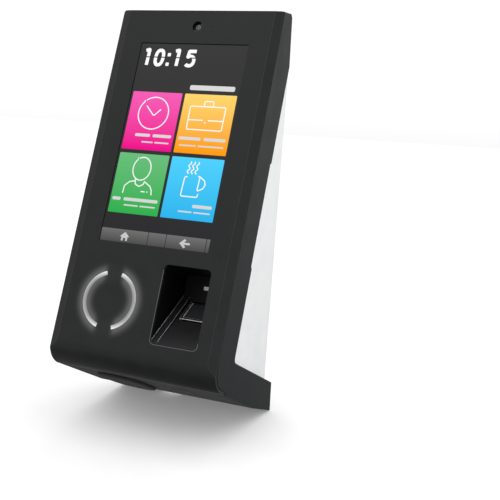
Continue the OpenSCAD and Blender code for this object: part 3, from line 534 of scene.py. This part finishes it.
def panels(name, outlines, lift, thick, material):
    """Thin plates on the face, each from an outline in millimetres."""
    form = bmesh.new()
    for outline in outlines:
        ring = [form.verts.new(at(x, down, lift)) for x, down in outline]
        face = form.faces.new(ring)
        face.normal_update()
        if face.normal.dot(OUT) < 0:
            face.normal_flip()
        moved = bmesh.ops.extrude_face_region(form, geom=[face])
        for item in moved["geom"]:
            if isinstance(item, bmesh.types.BMVert):
                item.co += OUT * thick * MM
    bmesh.ops.recalc_face_normals(form, faces=form.faces)
    mesh = mesh_of(form, name)
    paint(mesh, material)
    as_piece(mesh, name, "terminal")


def shown(name, top_colour, low_colour, top, low, strength=1.0):
    """Light from the display, shading from one colour down to another."""
    mat, tree, shader, where = start_material(name)
    share = mapped(tree, reckon_vector(tree, "DOT_PRODUCT", where, UP), at(0, top).dot(UP), at(0, low).dot(UP))
    feed(shader, {"Emission Color": ramp_of(tree, share, [(0.0, top_colour), (1.0, low_colour)]),
                  "Emission Strength": strength, "Base Color": (0, 0, 0, 1), "Specular IOR Level": 0.03,
                  "Roughness": 0.4})
    return mat


glass_heights = [v.co.dot(UP) for v in glass.vertices]
SCREEN_H = (max(glass_heights) - min(glass_heights)) / MM - 2 * GLASS_LAP
SCREEN_W = (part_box("touch_glass")[1].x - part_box("touch_glass")[0].x) / MM - 2 * GLASS_LAP
print("display %.1f by %.1f mm" % (SCREEN_W, SCREEN_H))
HALF = SCREEN_W / 2
STEP = 0.03                      # each layer of the picture is this thick
GROUND = -GLASS_RECESS + 0.01    # where the lowest layer starts

panels("display_ground", [rounded(-HALF + 0.3, HALF - 0.3, 0.4, SCREEN_H - 0.2, 0.2)], GROUND, STEP,
       shown("display_charcoal", "#3a3a3a", "#2c2c2e", 0, SCREEN_H))

COLUMNS = ((-42.2, -1.1), (1.2, 42.5))    # left and right sides of the tiles
ROWS = ((38.95, 84.1), (87.0, 132.7))     # and their upper and lower sides
TILES = {"pink": ("#f75fb8", "#f0078c", 0, 0), "amber": ("#ffd86e", "#ff9a00", 1, 0),
         "green": ("#6abf7c", "#2fb04d", 0, 1), "blue": ("#4fd2ff", "#2db5ee", 1, 1)}
for key, (top_colour, low_colour, column, row) in TILES.items():
    x0, x1 = COLUMNS[column]
    top, low = ROWS[row]
    panels("tile_" + key, [rounded(x0, x1, top, low, 0.6)], GROUND + STEP, STEP,
           shown("display_" + key, top_colour, low_colour, top, low))

KEY_TOP = 144.7
KEY_SIDES = ((-HALF + 0.4, -5.2), (-4.7, 9.25), (9.75, 40.7), (41.2, HALF - 0.4))
panels("soft_keys", [rounded(left, right, KEY_TOP, SCREEN_H - 0.4, 0.3) for left, right in KEY_SIDES],
       GROUND + STEP, STEP, shown("display_key_grey", "#707070", "#4c4c4c", KEY_TOP, SCREEN_H))

# %% [markdown]
# The signs on the tiles are lines of one width that follow a path. That is a rule, so
# Geometry Nodes draw them: each path is a chain of points, the tree rounds its corners,
# sweeps a small rectangle along it and gives it the white light. Change the width once
# and every sign follows.

# %% A node tree that draws strokes
def start_tree(name, output, **inputs):
    """A geometry tree with one output and named inputs, and the sockets that hand them in."""
    tree = bpy.data.node_groups.new(name, "GeometryNodeTree")
    for title, kind in inputs.items():
        tree.interface.new_socket(title, in_out="INPUT", socket_type="NodeSocket" + kind)
    tree.interface.new_socket(output, in_out="OUTPUT", socket_type="NodeSocketGeometry")
    return tree, add(tree, "NodeGroupInput").outputs


def end_tree(tree, output, geometry, material=None):
    """Makes the result real, gives it a material and hands it out."""
    result = add(tree, "GeometryNodeRealizeInstances", {"Geometry": geometry}).outputs["Geometry"]
    if material:
        painted = add(tree, "GeometryNodeSetMaterial", {"Geometry": result, "Material": material})
        result = painted.outputs["Geometry"]
    add(tree, "NodeGroupOutput", {output: result})
    return tree


def stroke_tree():
    """Paths in, flat strokes out."""
    tree, given = start_tree("strokes", "Strokes", Paths="Geometry", Width="Float", Thickness="Float",
                             Corner="Float", Light="Material")
    chain = add(tree, "GeometryNodeMeshToCurve", {"Mesh": given["Paths"]}).outputs["Curve"]
    soft = add(tree, "GeometryNodeFilletCurve",
               {"Curve": chain, "Radius": given["Corner"], "Count": CORNER_STEPS, "Limit Radius": True},
               mode="POLY").outputs["Curve"]
    pen = add(tree, "GeometryNodeCurvePrimitiveQuadrilateral", {"Width": given["Width"],
                                                                "Height": given["Thickness"]}).outputs[0]
    swept = add(tree, "GeometryNodeCurveToMesh", {"Curve": soft, "Profile Curve": pen, "Fill Caps": True})
    return end_tree(tree, "Strokes", swept.outputs["Mesh"], given["Light"])


def run_tree(tree, source, values):
    """Runs a geometry tree on a mesh and returns the plain mesh that it makes."""
    holder = placed("tree_holder", source)
    modifier = holder.modifiers.new("tree", "NODES")
    modifier.node_group = tree
    for socket in tree.interface.items_tree:
        if socket.in_out == "INPUT" and socket.name in values:
            modifier[socket.identifier] = values[socket.name]
    holder.update_tag()
    return applied(holder)


def turned_outwards(mesh):
    """Joins the points of a mesh that meet and turns every face outwards."""
    form = bmesh.new()
    form.from_mesh(mesh)
    bmesh.ops.remove_doubles(form, verts=form.verts, dist=0.0005 * MM)
    bmesh.ops.recalc_face_normals(form, faces=form.faces)
    form.to_mesh(mesh)
    form.free()


STROKES = stroke_tree()


def strokes(name, paths, width_mm, lift, material, corner_mm=0.8):
    """Lines on the face, from chains of (x, down) points."""
    verts, edges = [], []
    for path in paths:
        first = len(verts)
        verts += [(x * MM, -down * MM, 0.0) for x, down in path]
        edges += [(first + i, first + i + 1) for i in range(len(path) - 1)]
        if path[0] == path[-1]:
            verts.pop()
            edges[-1] = (edges[-1][0], first)
    source = bpy.data.meshes.new(name + "_paths")
    source.from_pydata(verts, edges, [])
    mesh = run_tree(STROKES, source, {"Width": width_mm * MM, "Thickness": STEP * MM,
                                      "Corner": corner_mm * MM, "Light": material})
    mesh.transform(FACE @ Matrix.Translation((0, 0, (lift + STEP / 2) * MM)))
    turned_outwards(mesh)
    paint(mesh, material)
    as_piece(mesh, name, "terminal")
    print(name, len(mesh.polygons), "faces")


# %% [markdown]
# Now the signs themselves: a clock for coming and going, a case for a trip, a figure for
# one's own page and a steaming cup for a break. A helper turns arcs into points, and the
# rest are a few corners each.

# %% Signs on the tiles
def arc(cx, cd, rx, ry, start, end, steps=40):
    """Points of an arc on the face; angles are counted from the right, upwards."""
    turns = [math.radians(start + (end - start) * i / steps) for i in range(steps + 1)]
    return [(cx + rx * math.cos(a), cd - ry * math.sin(a)) for a in turns]


def wave(x, top, low, swing, steps=24):
    """A wisp of steam."""
    return [(x - 0.9 * i / steps + swing * math.sin(4.4 * math.pi * i / steps), top + (low - top) * i / steps)
            for i in range(steps + 1)]


CLOCK = [arc(-21.8, 55.4, 12.4, 12.4, 128, -225, 72), [(-28.5, 49.8), (-21.1, 57.4), (-16.0, 52.2)]]
CASE = [[(7.4, 48.3), (35.6, 48.3), (35.4, 66.0), (7.6, 66.0), (7.4, 48.3)],
        [(18.3, 48.3), (18.3, 44.2), (25.5, 44.2), (25.5, 48.3)],
        [(7.6, 58.7), (19.4, 58.7)], [(23.4, 58.7), (35.4, 58.7)]]
FIGURE = [arc(-21.4, 98.4, 7.3, 8.7, 118, -232, 60),
          [(-33.2, 117.8), (-32.9, 112.2), (-29.2, 108.7), (-24.9, 107.9)],
          [(-25.0, 106.6), (-24.4, 110.2), (-21.0, 111.9), (-17.8, 110.2), (-17.0, 107.6)],
          [(-16.6, 108.3), (-11.8, 111.2), (-10.2, 114.0), (-9.6, 117.6)], [(-18.6, 115.5), (-15.2, 115.5)]]
CUP = [[(16.4, 101.3), (14.3, 101.6), (13.7, 115.8), (26.8, 115.8), (27.0, 113.2)],
       [(25.8, 111.0), (26.2, 100.6), (24.6, 100.4)],
       [(26.2, 100.8), (30.2, 103.2), (31.3, 106.4), (30.0, 109.2), (26.2, 111.2)],
       *[wave(x, 90.0, 99.2, 0.75) for x in (16.8, 19.9, 23.0)]]
sign_white = shown("display_white", "#ffffff", "#f6f6f6", 0, SCREEN_H)
label_white = shown("display_label", "#f4f4f4", "#ececec", 0, SCREEN_H, 0.8)
strokes("tile_signs", CLOCK + CASE + FIGURE + CUP, 0.85, GROUND + 2 * STEP, sign_white, corner_mm=1.1)

DOTS = ((-30.6, 46.2, 0.55), (21.4, 60.5, 0.6), (-25.9, 90.5, 0.5), (-13.4, 115.5, 0.5))
panels("tile_dots", [rounded(x - r, x + r, d - r, d + r, r * 0.9) for x, d, r in DOTS],
       GROUND + 2 * STEP, STEP, sign_white)

# Each tile has a row of thick bars and, under it, a row of thin ones: where a row starts
# and how thick it is, and then the left and right ends of its bars.
THICK, THIN = 0.9, 0.4    # how round their ends are
BARS = ((71.6, 2.3, THICK, ((-33.2, -20.6), (-18.4, -3.2))), (71.8, 2.3, THICK, ((3.0, 20.6), (23.0, 40.2))),
        (120.9, 2.4, THICK, ((-40.6, -33.8), (-31.2, -3.2))), (121.3, 2.4, THICK, ((24.6, 39.8),)),
        (77.4, 1.1, THIN, ((-26.6, -17.2), (-15.9, -4.2))), (77.7, 1.1, THIN, ((4.4, 18.0), (19.4, 39.4))),
        (126.0, 1.1, THIN, ((-30.2, -18.4), (-17.0, -4.4))), (126.4, 1.1, THIN, ((14.2, 25.0), (26.4, 39.2))))
panels("tile_labels", [rounded(left, right, top, top + thick, r) for top, thick, r, ends in BARS
                       for left, right in ends], GROUND + 2 * STEP, STEP, label_white)
panels("heading_bar", [rounded(3.9, 39.8, 32.2, 36.0, 1.2)], GROUND + STEP, STEP, label_white)

HOME = [(-23.8, 146.4), (-19.9, 150.0), (-21.3, 150.0), (-21.3, 152.9), (-22.8, 152.9), (-22.8, 150.9),
        (-24.8, 150.9), (-24.8, 152.9), (-26.3, 152.9), (-26.3, 150.0), (-27.7, 150.0)]
BACK = [(20.4, 149.7), (24.2, 146.4), (25.6, 147.5), (23.9, 149.0), (28.6, 149.0), (28.6, 150.5),
        (23.9, 150.5), (25.6, 152.0), (24.2, 153.1)]
panels("key_signs", [HOME, BACK], GROUND + 2 * STEP, STEP,
       shown("display_key_white", "#d2d2d2", "#c4c4c4", 140, 155))

# The mouth of the finger well gets a painted highlight line on its left and lower sides.
MOUTH_LEFT, MOUTH_RIGHT, MOUTH_TOP, MOUTH_LOW, BEND = 13.2, 49.6, 166.2, 222.4, 3.5
bend_left = [(MOUTH_LEFT + BEND - BEND * math.cos(a), MOUTH_LOW - BEND + BEND * math.sin(a))
             for a in (math.radians(90 * i / 8) for i in range(9))]
bend_right = [(MOUTH_RIGHT - BEND + BEND * math.sin(a), MOUTH_LOW - BEND + BEND * math.cos(a))
              for a in (math.radians(90 * i / 8) for i in range(9))]
mouth_highlight_line = [(MOUTH_LEFT, MOUTH_TOP + 4), *bend_left, *bend_right, (MOUTH_RIGHT, MOUTH_LOW - BEND - 2)]
strokes("mouth_edge", [mouth_highlight_line], 0.45, -0.02, mouth_edge, corner_mm=0.0)

# %% [markdown]
# The time of day is set in slanted block figures. Numbers on a clock are nobody's mark,
# and they are drawn with the same stroke tree, only with a broader pen.

# %% The time
def slanted(points, x, low=17.3, lean=0.04):
    """Figure points as (across, height above the line), leaned to the right."""
    return [(x + px + ph * lean, low - ph) for px, ph in points]


def oval(rx, ry, cx, cy, start, end, steps=30, power=0.8):
    """Points of a squarish oval, as (across, height)."""
    points = []
    for i in range(steps + 1):
        a = math.radians(start + (end - start) * i / steps)
        c, q = math.cos(a), math.sin(a)
        points.append((cx + rx * math.copysign(abs(c) ** power, c),
                       cy + ry * math.copysign(abs(q) ** power, q)))
    return points


ONE = [(0.1, 11.2), (3.0, 12.2), (3.0, -0.4)]
ZERO = oval(3.1, 5.8, 3.5, 5.8, 90, 450)
FIVE = [(7.6, 11.4), (1.9, 11.4), (1.5, 6.6)] + oval(3.4, 3.7, 3.6, 3.7, 118, -140, 22, 0.9)
figures = [slanted(ONE, -39.5), slanted(ZERO, -30.4), slanted(ONE, -14.4), slanted(FIVE, -4.8)]
strokes("clock_figures", figures, 2.7, GROUND + STEP, sign_white, corner_mm=0.5)
colon = [rounded(x - 1.35, x + 1.35, d - 1.35, d + 1.35, 0.6) for x, d in ((-19.05, 16.6), (-18.8, 9.0))]
panels("clock_colon", colon, GROUND + STEP, STEP, sign_white)
# Each figure is cut once across, as stencilled figures are.
cuts = [rounded(x, x + wide, 10.8, 11.6, 0.1)
        for x, wide in ((-38.9, 6.2), (-31.4, 9.6), (-13.8, 6.2), (-1.2, 5.4))]
panels("clock_cuts", cuts, GROUND + 2 * STEP + 0.01, 0.01, bpy.data.materials["display_charcoal"])

# %% [markdown]
# The camera sits behind a hole in the fascia. A flat disc would look like a dark dot, so
# the window becomes a turned lens: a shallow dome with a stepped ring round it. A profile
# is spun about the hole's axis, much as a real lens is ground.

# %% Camera lens
def turned(name, profile, centre, axis, steps=64):
    """Spins (radius, height) points, in millimetres, about an axis."""
    form = bmesh.new()
    side = axis.orthogonal().normalized()
    other = axis.cross(side).normalized()
    rings = []
    for radius, height in profile:
        base = centre + axis * height * MM
        if radius < 1e-6:
            rings.append([form.verts.new(base)])
            continue
        rings.append([form.verts.new(base + (side * math.cos(a) + other * math.sin(a)) * radius * MM)
                      for a in (2 * math.pi * i / steps for i in range(steps))])
    for low, high in zip(rings, rings[1:]):
        for i in range(steps):
            j = (i + 1) % steps
            ring = [low[i % len(low)], low[j % len(low)], high[j % len(high)], high[i % len(high)]]
            form.faces.new(list(dict.fromkeys(ring)))
    bmesh.ops.recalc_face_normals(form, faces=form.faces)
    mesh = mesh_of(form, name)
    for face in mesh.polygons:
        face.use_smooth = True
    return mesh


dome = [(0, 0.55), (1.0, 0.52), (2.0, 0.4), (2.7, 0.2), (3.0, 0.02), (3.0, -0.35), (3.3, -0.35), (3.45, 0.25),
        (4.05, 0.25), (4.2, 0.1), (4.85, 0.1), (4.9, 0.0), (4.9, -0.55), (4.8, -0.6), (0, -0.6)]
lens_mesh = turned("camera_lens", dome, WINDOW_MID, OUT)
paint(lens_mesh, lens_glass)
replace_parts(as_piece(lens_mesh, "camera_lens", "terminal"), "camera_window")
print("lens at", [round(c, 4) for c in WINDOW_MID])

# %% [markdown]
# Screws repeat across every board. One tree takes a cloud of points, the head shape and
# a turn, sets a screw on each point and makes them one solid mesh. The points, lengths
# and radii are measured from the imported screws, so each new screw sits in its own hole.

# %% A node tree that sets screws
def copies_on(tree, points, item, turn):
    """A copy of an object on every point, turned one way."""
    shape = add(tree, "GeometryNodeObjectInfo", {"Object": item}, transform_space="ORIGINAL")
    return add(tree, "GeometryNodeInstanceOnPoints", {"Points": points, "Instance": shape.outputs["Geometry"],
                                                      "Rotation": turn}).outputs["Instances"]


def fastener_tree():
    """Points in, one screw on each point out."""
    tree, given = start_tree("fasteners", "Screws", Places="Geometry", Screw="Object", Turn="Vector",
                             Metal="Material")
    copies = copies_on(tree, given["Places"], given["Screw"], given["Turn"])
    return end_tree(tree, "Screws", copies, given["Metal"])


def loose_parts(node):
    """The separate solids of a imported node, each as its list of points."""
    form = bmesh.new()
    form.from_mesh(frame["nodes"][node].data)
    bmesh.ops.remove_doubles(form, verts=form.verts, dist=WELD)
    waiting, parts = set(form.verts), []
    for first in form.verts:
        if first not in waiting:
            continue
        waiting.discard(first)
        group, edge = [], [first]
        while edge:
            vert = edge.pop()
            group.append(vert)
            for link in vert.link_edges:
                other = link.other_vert(vert)
                if other in waiting:
                    waiting.discard(other)
                    edge.append(other)
        parts.append([v.co.copy() for v in group])
    form.free()
    return parts


def screw_mesh(head_r, head_t, shank_r, shank_l):
    """A pan-head screw standing on +Z, with a cross recess and a pitched shank."""
    pitch = 0.8
    # The small allowance settles a shank that is a whole number of turns long.
    turns = max(2, int(shank_l / pitch - 0.01))
    profile = [(0, -shank_l), (shank_r * 0.7, -shank_l)]
    for i in range(turns):
        foot = -shank_l + 0.3 + i * (shank_l - 0.6) / turns
        profile += [(shank_r * 0.86, foot), (shank_r, foot + pitch * 0.3)]
    profile += [(shank_r * 0.86, -0.15), (shank_r * 0.86, 0), (head_r, 0), (head_r, head_t * 0.45),
                (head_r * 0.92, head_t * 0.75), (head_r * 0.7, head_t * 0.95), (0, head_t)]
    body = placed("screw_form", turned("screw_form", profile, Vector(), Vector((0, 0, 1)), 20))
    cross = bmesh.new()
    for turn in (0, 90):
        box = bmesh.ops.create_cube(cross, size=1.0)
        bmesh.ops.scale(cross, verts=box["verts"], vec=(head_r * 1.15 * MM, head_r * 0.26 * MM, head_t * MM))
        bmesh.ops.translate(cross, verts=box["verts"], vec=(0, 0, head_t * 1.05 * MM))
        bmesh.ops.rotate(cross, verts=box["verts"], matrix=Matrix.Rotation(math.radians(turn), 3, "Z"))
    cutter = placed("cross", mesh_of(cross, "cross"))
    cut = body.modifiers.new("cut", "BOOLEAN")
    cut.object, cut.operation, cut.solver, cut.use_self = cutter, "DIFFERENCE", "EXACT", True
    made = applied(body)
    bpy.data.objects.remove(cutter)
    return made


FASTENERS = fastener_tree()


def set_screws(node, head_out):
    """Replaces a packed set of screws by detailed ones; head_out is the way the heads face."""
    parts = loose_parts(node)
    low = [min(p.dot(head_out) for p in part) for part in parts]
    high = [max(p.dot(head_out) for p in part) for part in parts]
    middles = [sum(part, Vector()) / len(part) for part in parts]
    first = [(p.dot(head_out), ((p - middles[0]) - head_out * (p - middles[0]).dot(head_out)).length)
             for p in parts[0]]
    head_r = max(radius for height, radius in first)
    shank_r = max(radius for height, radius in first if height < low[0] + 0.01 * MM)
    under = min(height for height, radius in first if radius > head_r * 0.97)
    head_t = high[0] - under
    shape = placed("screw_shape", screw_mesh(head_r / MM, head_t / MM, shank_r / MM, (under - low[0]) / MM))
    places = bpy.data.meshes.new(node + "_places")
    places.from_pydata([m + head_out * (h - head_t - m.dot(head_out)) for m, h in zip(middles, high)], [], [])
    turn = head_out.to_track_quat("Z", "Y").to_euler()
    mesh = run_tree(FASTENERS, places, {"Screw": shape, "Turn": tuple(turn), "Metal": zinc_steel})
    bpy.data.objects.remove(shape)
    paint(mesh, zinc_steel)
    piece = as_piece(mesh, node + "_look", body_of(node), smooth=30)
    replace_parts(piece, node)
    print(node, len(parts), "screws, head radius %.1f mm" % (head_r / MM))


OFF_WALL = Vector((0, -1, 0))
for node in ("fascia_screws", "frame_screws", "ring_board_screws", "board_screws"):
    set_screws(node, -OUT)
for node in ("base_board_screws", "clamp_screws", "catch_screw"):
    set_screws(node, OFF_WALL)

# %% [markdown]
# Boards are crowded with parts too small to name. A second tree scatters chips over the
# free areas of both boards: it spreads points with a least distance between them, from a
# fixed seed so that every run is the same, and puts a small chip with two bright ends on
# each. Real passives are placed by machine on a square raster, so turns are in quarters.

# %% Scatter small chips on the boards
CHIP_SPACING = 3.2 * MM
CHIP_DENSITY = 300000.0    # tries per square metre; the spacing thins them out


def chip_tree():
    """A patch of board in, chips standing on it out."""
    tree, given = start_tree("board_chips", "Chips", Patch="Geometry", Chip="Object", Spacing="Float",
                             Seed="Int", Turn="Vector")
    spots = add(tree, "GeometryNodeDistributePointsOnFaces",
                {"Mesh": given["Patch"], "Distance Min": given["Spacing"], "Density Max": CHIP_DENSITY,
                 "Seed": given["Seed"]}, distribute_method="POISSON").outputs["Points"]
    quarter = add(tree, "FunctionNodeRandomValue", {"Seed": given["Seed"]}, data_type="INT")
    least, most = [s for s in quarter.inputs if s.type == "INT"][:2]
    least.default_value, most.default_value = 0, 1
    angle = reckon(tree, "MULTIPLY", [s for s in quarter.outputs if s.type == "INT"][0], math.pi / 2)
    spin = add(tree, "ShaderNodeCombineXYZ", {"Z": angle}).outputs["Vector"]
    copies = copies_on(tree, spots, given["Chip"], given["Turn"])
    spun = add(tree, "GeometryNodeRotateInstances", {"Instances": copies, "Rotation": spin,
                                                     "Local Space": True})
    return end_tree(tree, "Chips", spun.outputs["Instances"])


def chip_mesh():
    """A 1.6 by 0.8 mm chip part with plated ends."""
    form = bmesh.new()
    for x, w, h in ((0, 0.9, 0.44), (-0.62, 0.34, 0.5), (0.62, 0.34, 0.5)):
        box = bmesh.ops.create_cube(form, size=1.0)
        bmesh.ops.scale(form, verts=box["verts"], vec=(w * MM, 0.8 * MM, h * MM))
        bmesh.ops.translate(form, verts=box["verts"], vec=(x * MM, 0, h / 2 * MM))
        for face in {f for v in box["verts"] for f in v.link_faces}:
            face.material_index = 0 if x == 0 else 1
    mesh = mesh_of(form, "chip")
    for material in (hidden_black, zinc_steel):
        mesh.materials.append(material)
    return mesh


CHIPS = chip_tree()
chip = placed("chip", chip_mesh())
CHIP_FACES = 18


def scatter(name, corners, normal, seed, body):
    """Chips over one rectangular patch, given by four corners."""
    patch = bpy.data.meshes.new(name + "_patch")
    patch.from_pydata([tuple(c) for c in corners], [], [(0, 1, 2, 3)])
    if patch.polygons[0].normal.dot(normal) < 0:
        patch.flip_normals()
    turn = normal.to_track_quat("Z", "X").to_euler()
    mesh = run_tree(CHIPS, patch, {"Chip": chip, "Seed": seed, "Turn": tuple(turn), "Spacing": CHIP_SPACING})
    as_piece(mesh, name, body)
    print(name, len(mesh.polygons) // CHIP_FACES, "chips")


# The free areas, as left, right, upper and lower sides in millimetres: on the main board
# they are counted on the leaning face, and on the wall's board up from its middle.
MAIN_PATCHES = ((4, 40, 16, 66), (-40, -4, 76, 108), (12, 40, 112, 136))
BASE_PATCHES = ((-38, -16, -6, -18), (20, 38, 14, -24))
board_back = min(depth_of(v.co) for v in frame["nodes"]["main_board"].data.vertices)
for i, (left, right, top, low) in enumerate(MAIN_PATCHES):
    scatter("main_chips_%d" % i, [at(x, down, board_back) for x, down in
                                  ((left, top), (right, top), (right, low), (left, low))],
            -OUT, 11 + i, "terminal")
base_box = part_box("base_board")
board_mid = (base_box[0].z + base_box[1].z) / 2
for i, (left, right, top, low) in enumerate(BASE_PATCHES):
    scatter("base_chips_%d" % i, [(x * MM, base_box[0].y, board_mid + z * MM) for x, z in
                                  ((left, top), (right, top), (right, low), (left, low))],
            OFF_WALL, 21 + i, "base")
bpy.data.objects.remove(chip)

# %% [markdown]
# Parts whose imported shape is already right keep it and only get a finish. The list pairs
# each material with the parts that are made of it.

# %% Give the remaining parts their finish
FINISHES = (
    (screen_glass, ("touch_glass", "lcd_panel")),
    (backlight_film, ("backlight",)),
    (ring_light, ("ring_guide_left", "ring_guide_right")),
    (lamp_light, ("well_lamp",)),
    (platen_glass, ("sensor_glass",)),
    (board_green, ("camera_board", "ring_board", "sensor_board", "main_board", "dock_pads", "base_board")),
    (hidden_black, ("display_gasket", "camera_barrel", "buzzer", "tamper_post", "power_converter",
                    "base_capacitors", "dock_head", "battery_holder", "cable_clamp")),
    (zinc_steel, ("lcd_frame", "microphone", "processor_shield", "clock_cell", "lock_cam", "hinge_rod",
                  "catch_plate", "network_jack")),
    (turned_brass, ("board_standoffs", "lock_bush")),
    (gold_plate, ("dock_pins",)),
    (ribbon_film, ("display_ribbon", "sensor_ribbon")),
    (ivory, ("ring_lamps", "tamper_plunger")),
    (signal_green, ("power_block",)),
    (signal_red, ("reset_button",)),
    (switch_grey, ("tamper_switch", "reset_switch")),
    (cell_sleeve, ("backup_battery",)),
)
for finish, nodes in FINISHES:
    for node in nodes:
        paint(frame["nodes"][node].data, finish)
print(sum(len(nodes) for finish, nodes in FINISHES), "parts keep their packed shape")

# %% [markdown]
# The stage is a white floor and soft studio light. The surround lights most of the
# object: it is bright above and dims towards the ground, so what faces down goes dark. A
# broad light stands in front, high and a little to the left, and a second one low on the
# right brightens the cheek and the white tub.

# %% Floor, light and camera
FLOOR_HALF = 6.0
floor_form = bmesh.new()
bmesh.ops.create_grid(floor_form, x_segments=1, y_segments=1, size=FLOOR_HALF)
floor = placed("studio_floor", mesh_of(floor_form, "studio_floor"))
floor.location = (0, 0, min(CAD_BOX[0].z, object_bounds()[0].z))
paper, tree, shader, where = start_material("studio_paper")
fibre = add(tree, "ShaderNodeTexNoise", {"Vector": where, "Scale": 40.0, "Detail": 2.0}).outputs["Fac"]
# Light comes up through the paper too, which keeps the shadow soft and grey.
feed(shader, {"Base Color": ramp_of(tree, fibre, [(0.3, "#f4f4f4"), (0.7, "#f7f7f7")]), "Roughness": 0.9,
              "Specular IOR Level": 0.1, "Emission Color": tint("#ffffff"), "Emission Strength": 0.15})
floor.data.materials.append(paper)
# The floor is seen and takes the shadow, but sends no light back up, so that it doesn't
# brighten the underside.
floor.visible_diffuse = False
floor.visible_glossy = False

world = bpy.data.worlds.new("studio")
world.use_nodes = True
sky = world.node_tree
ray = add(sky, "ShaderNodeTexCoord").outputs["Generated"]
upward = add(sky, "ShaderNodeSeparateXYZ", {"Vector": ray}).outputs["Z"]
SKY = ((0.0, 0.25), (0.3, 0.3), (0.42, 0.72), (0.5, 1.0))    # brightness, from straight down to level
shade = ramp_of(sky, mapped(sky, upward, -1.0, 1.0), [(place, "#ffffff") for place, level in SKY])
for element, (place, level) in zip(shade.node.color_ramp.elements, SKY):
    element.color = (level, level, level, 1)
feed(sky.nodes["Background"], {"Color": shade, "Strength": 1.03})
bpy.context.scene.world = world


def aim(thing, place, target):
    """Stands a light somewhere and points it at something."""
    thing.location = place
    thing.rotation_euler = (Vector(target) - Vector(place)).to_track_quat("-Z", "Y").to_euler()


for name, place, size, power in (("key_high_front", (-0.5, -1.2, 1.5), 1.0, 3),
                                 ("side_right", (1.3, -0.4, -0.1), 0.8, 5)):
    lamp = bpy.data.lights.new(name, "AREA")
    lamp.size = size
    lamp.energy = power
    aim(placed(name, lamp), place, (0, -0.05, 0))

# The camera stands to the right, a little above the middle, and is hardly tilted.
EYE = Vector((0.28006, -0.5907, 0.07795))
LOOK = Vector((-0.36776, 0.91357, -0.17343)).normalized()
ACROSS = Vector((0.92309, 0.38120, 0.05074)).normalized()
camera_data = bpy.data.cameras.new("camera")
camera_data.lens = 59.53
camera_data.sensor_width = 36.0
camera = placed("camera", camera_data)
stand = Matrix((ACROSS, ACROSS.cross(LOOK).normalized(), -LOOK)).transposed().to_4x4()
stand.translation = EYE
camera.matrix_world = stand
bpy.context.scene.camera = camera
bpy.context.scene.view_settings.view_transform = "Standard"
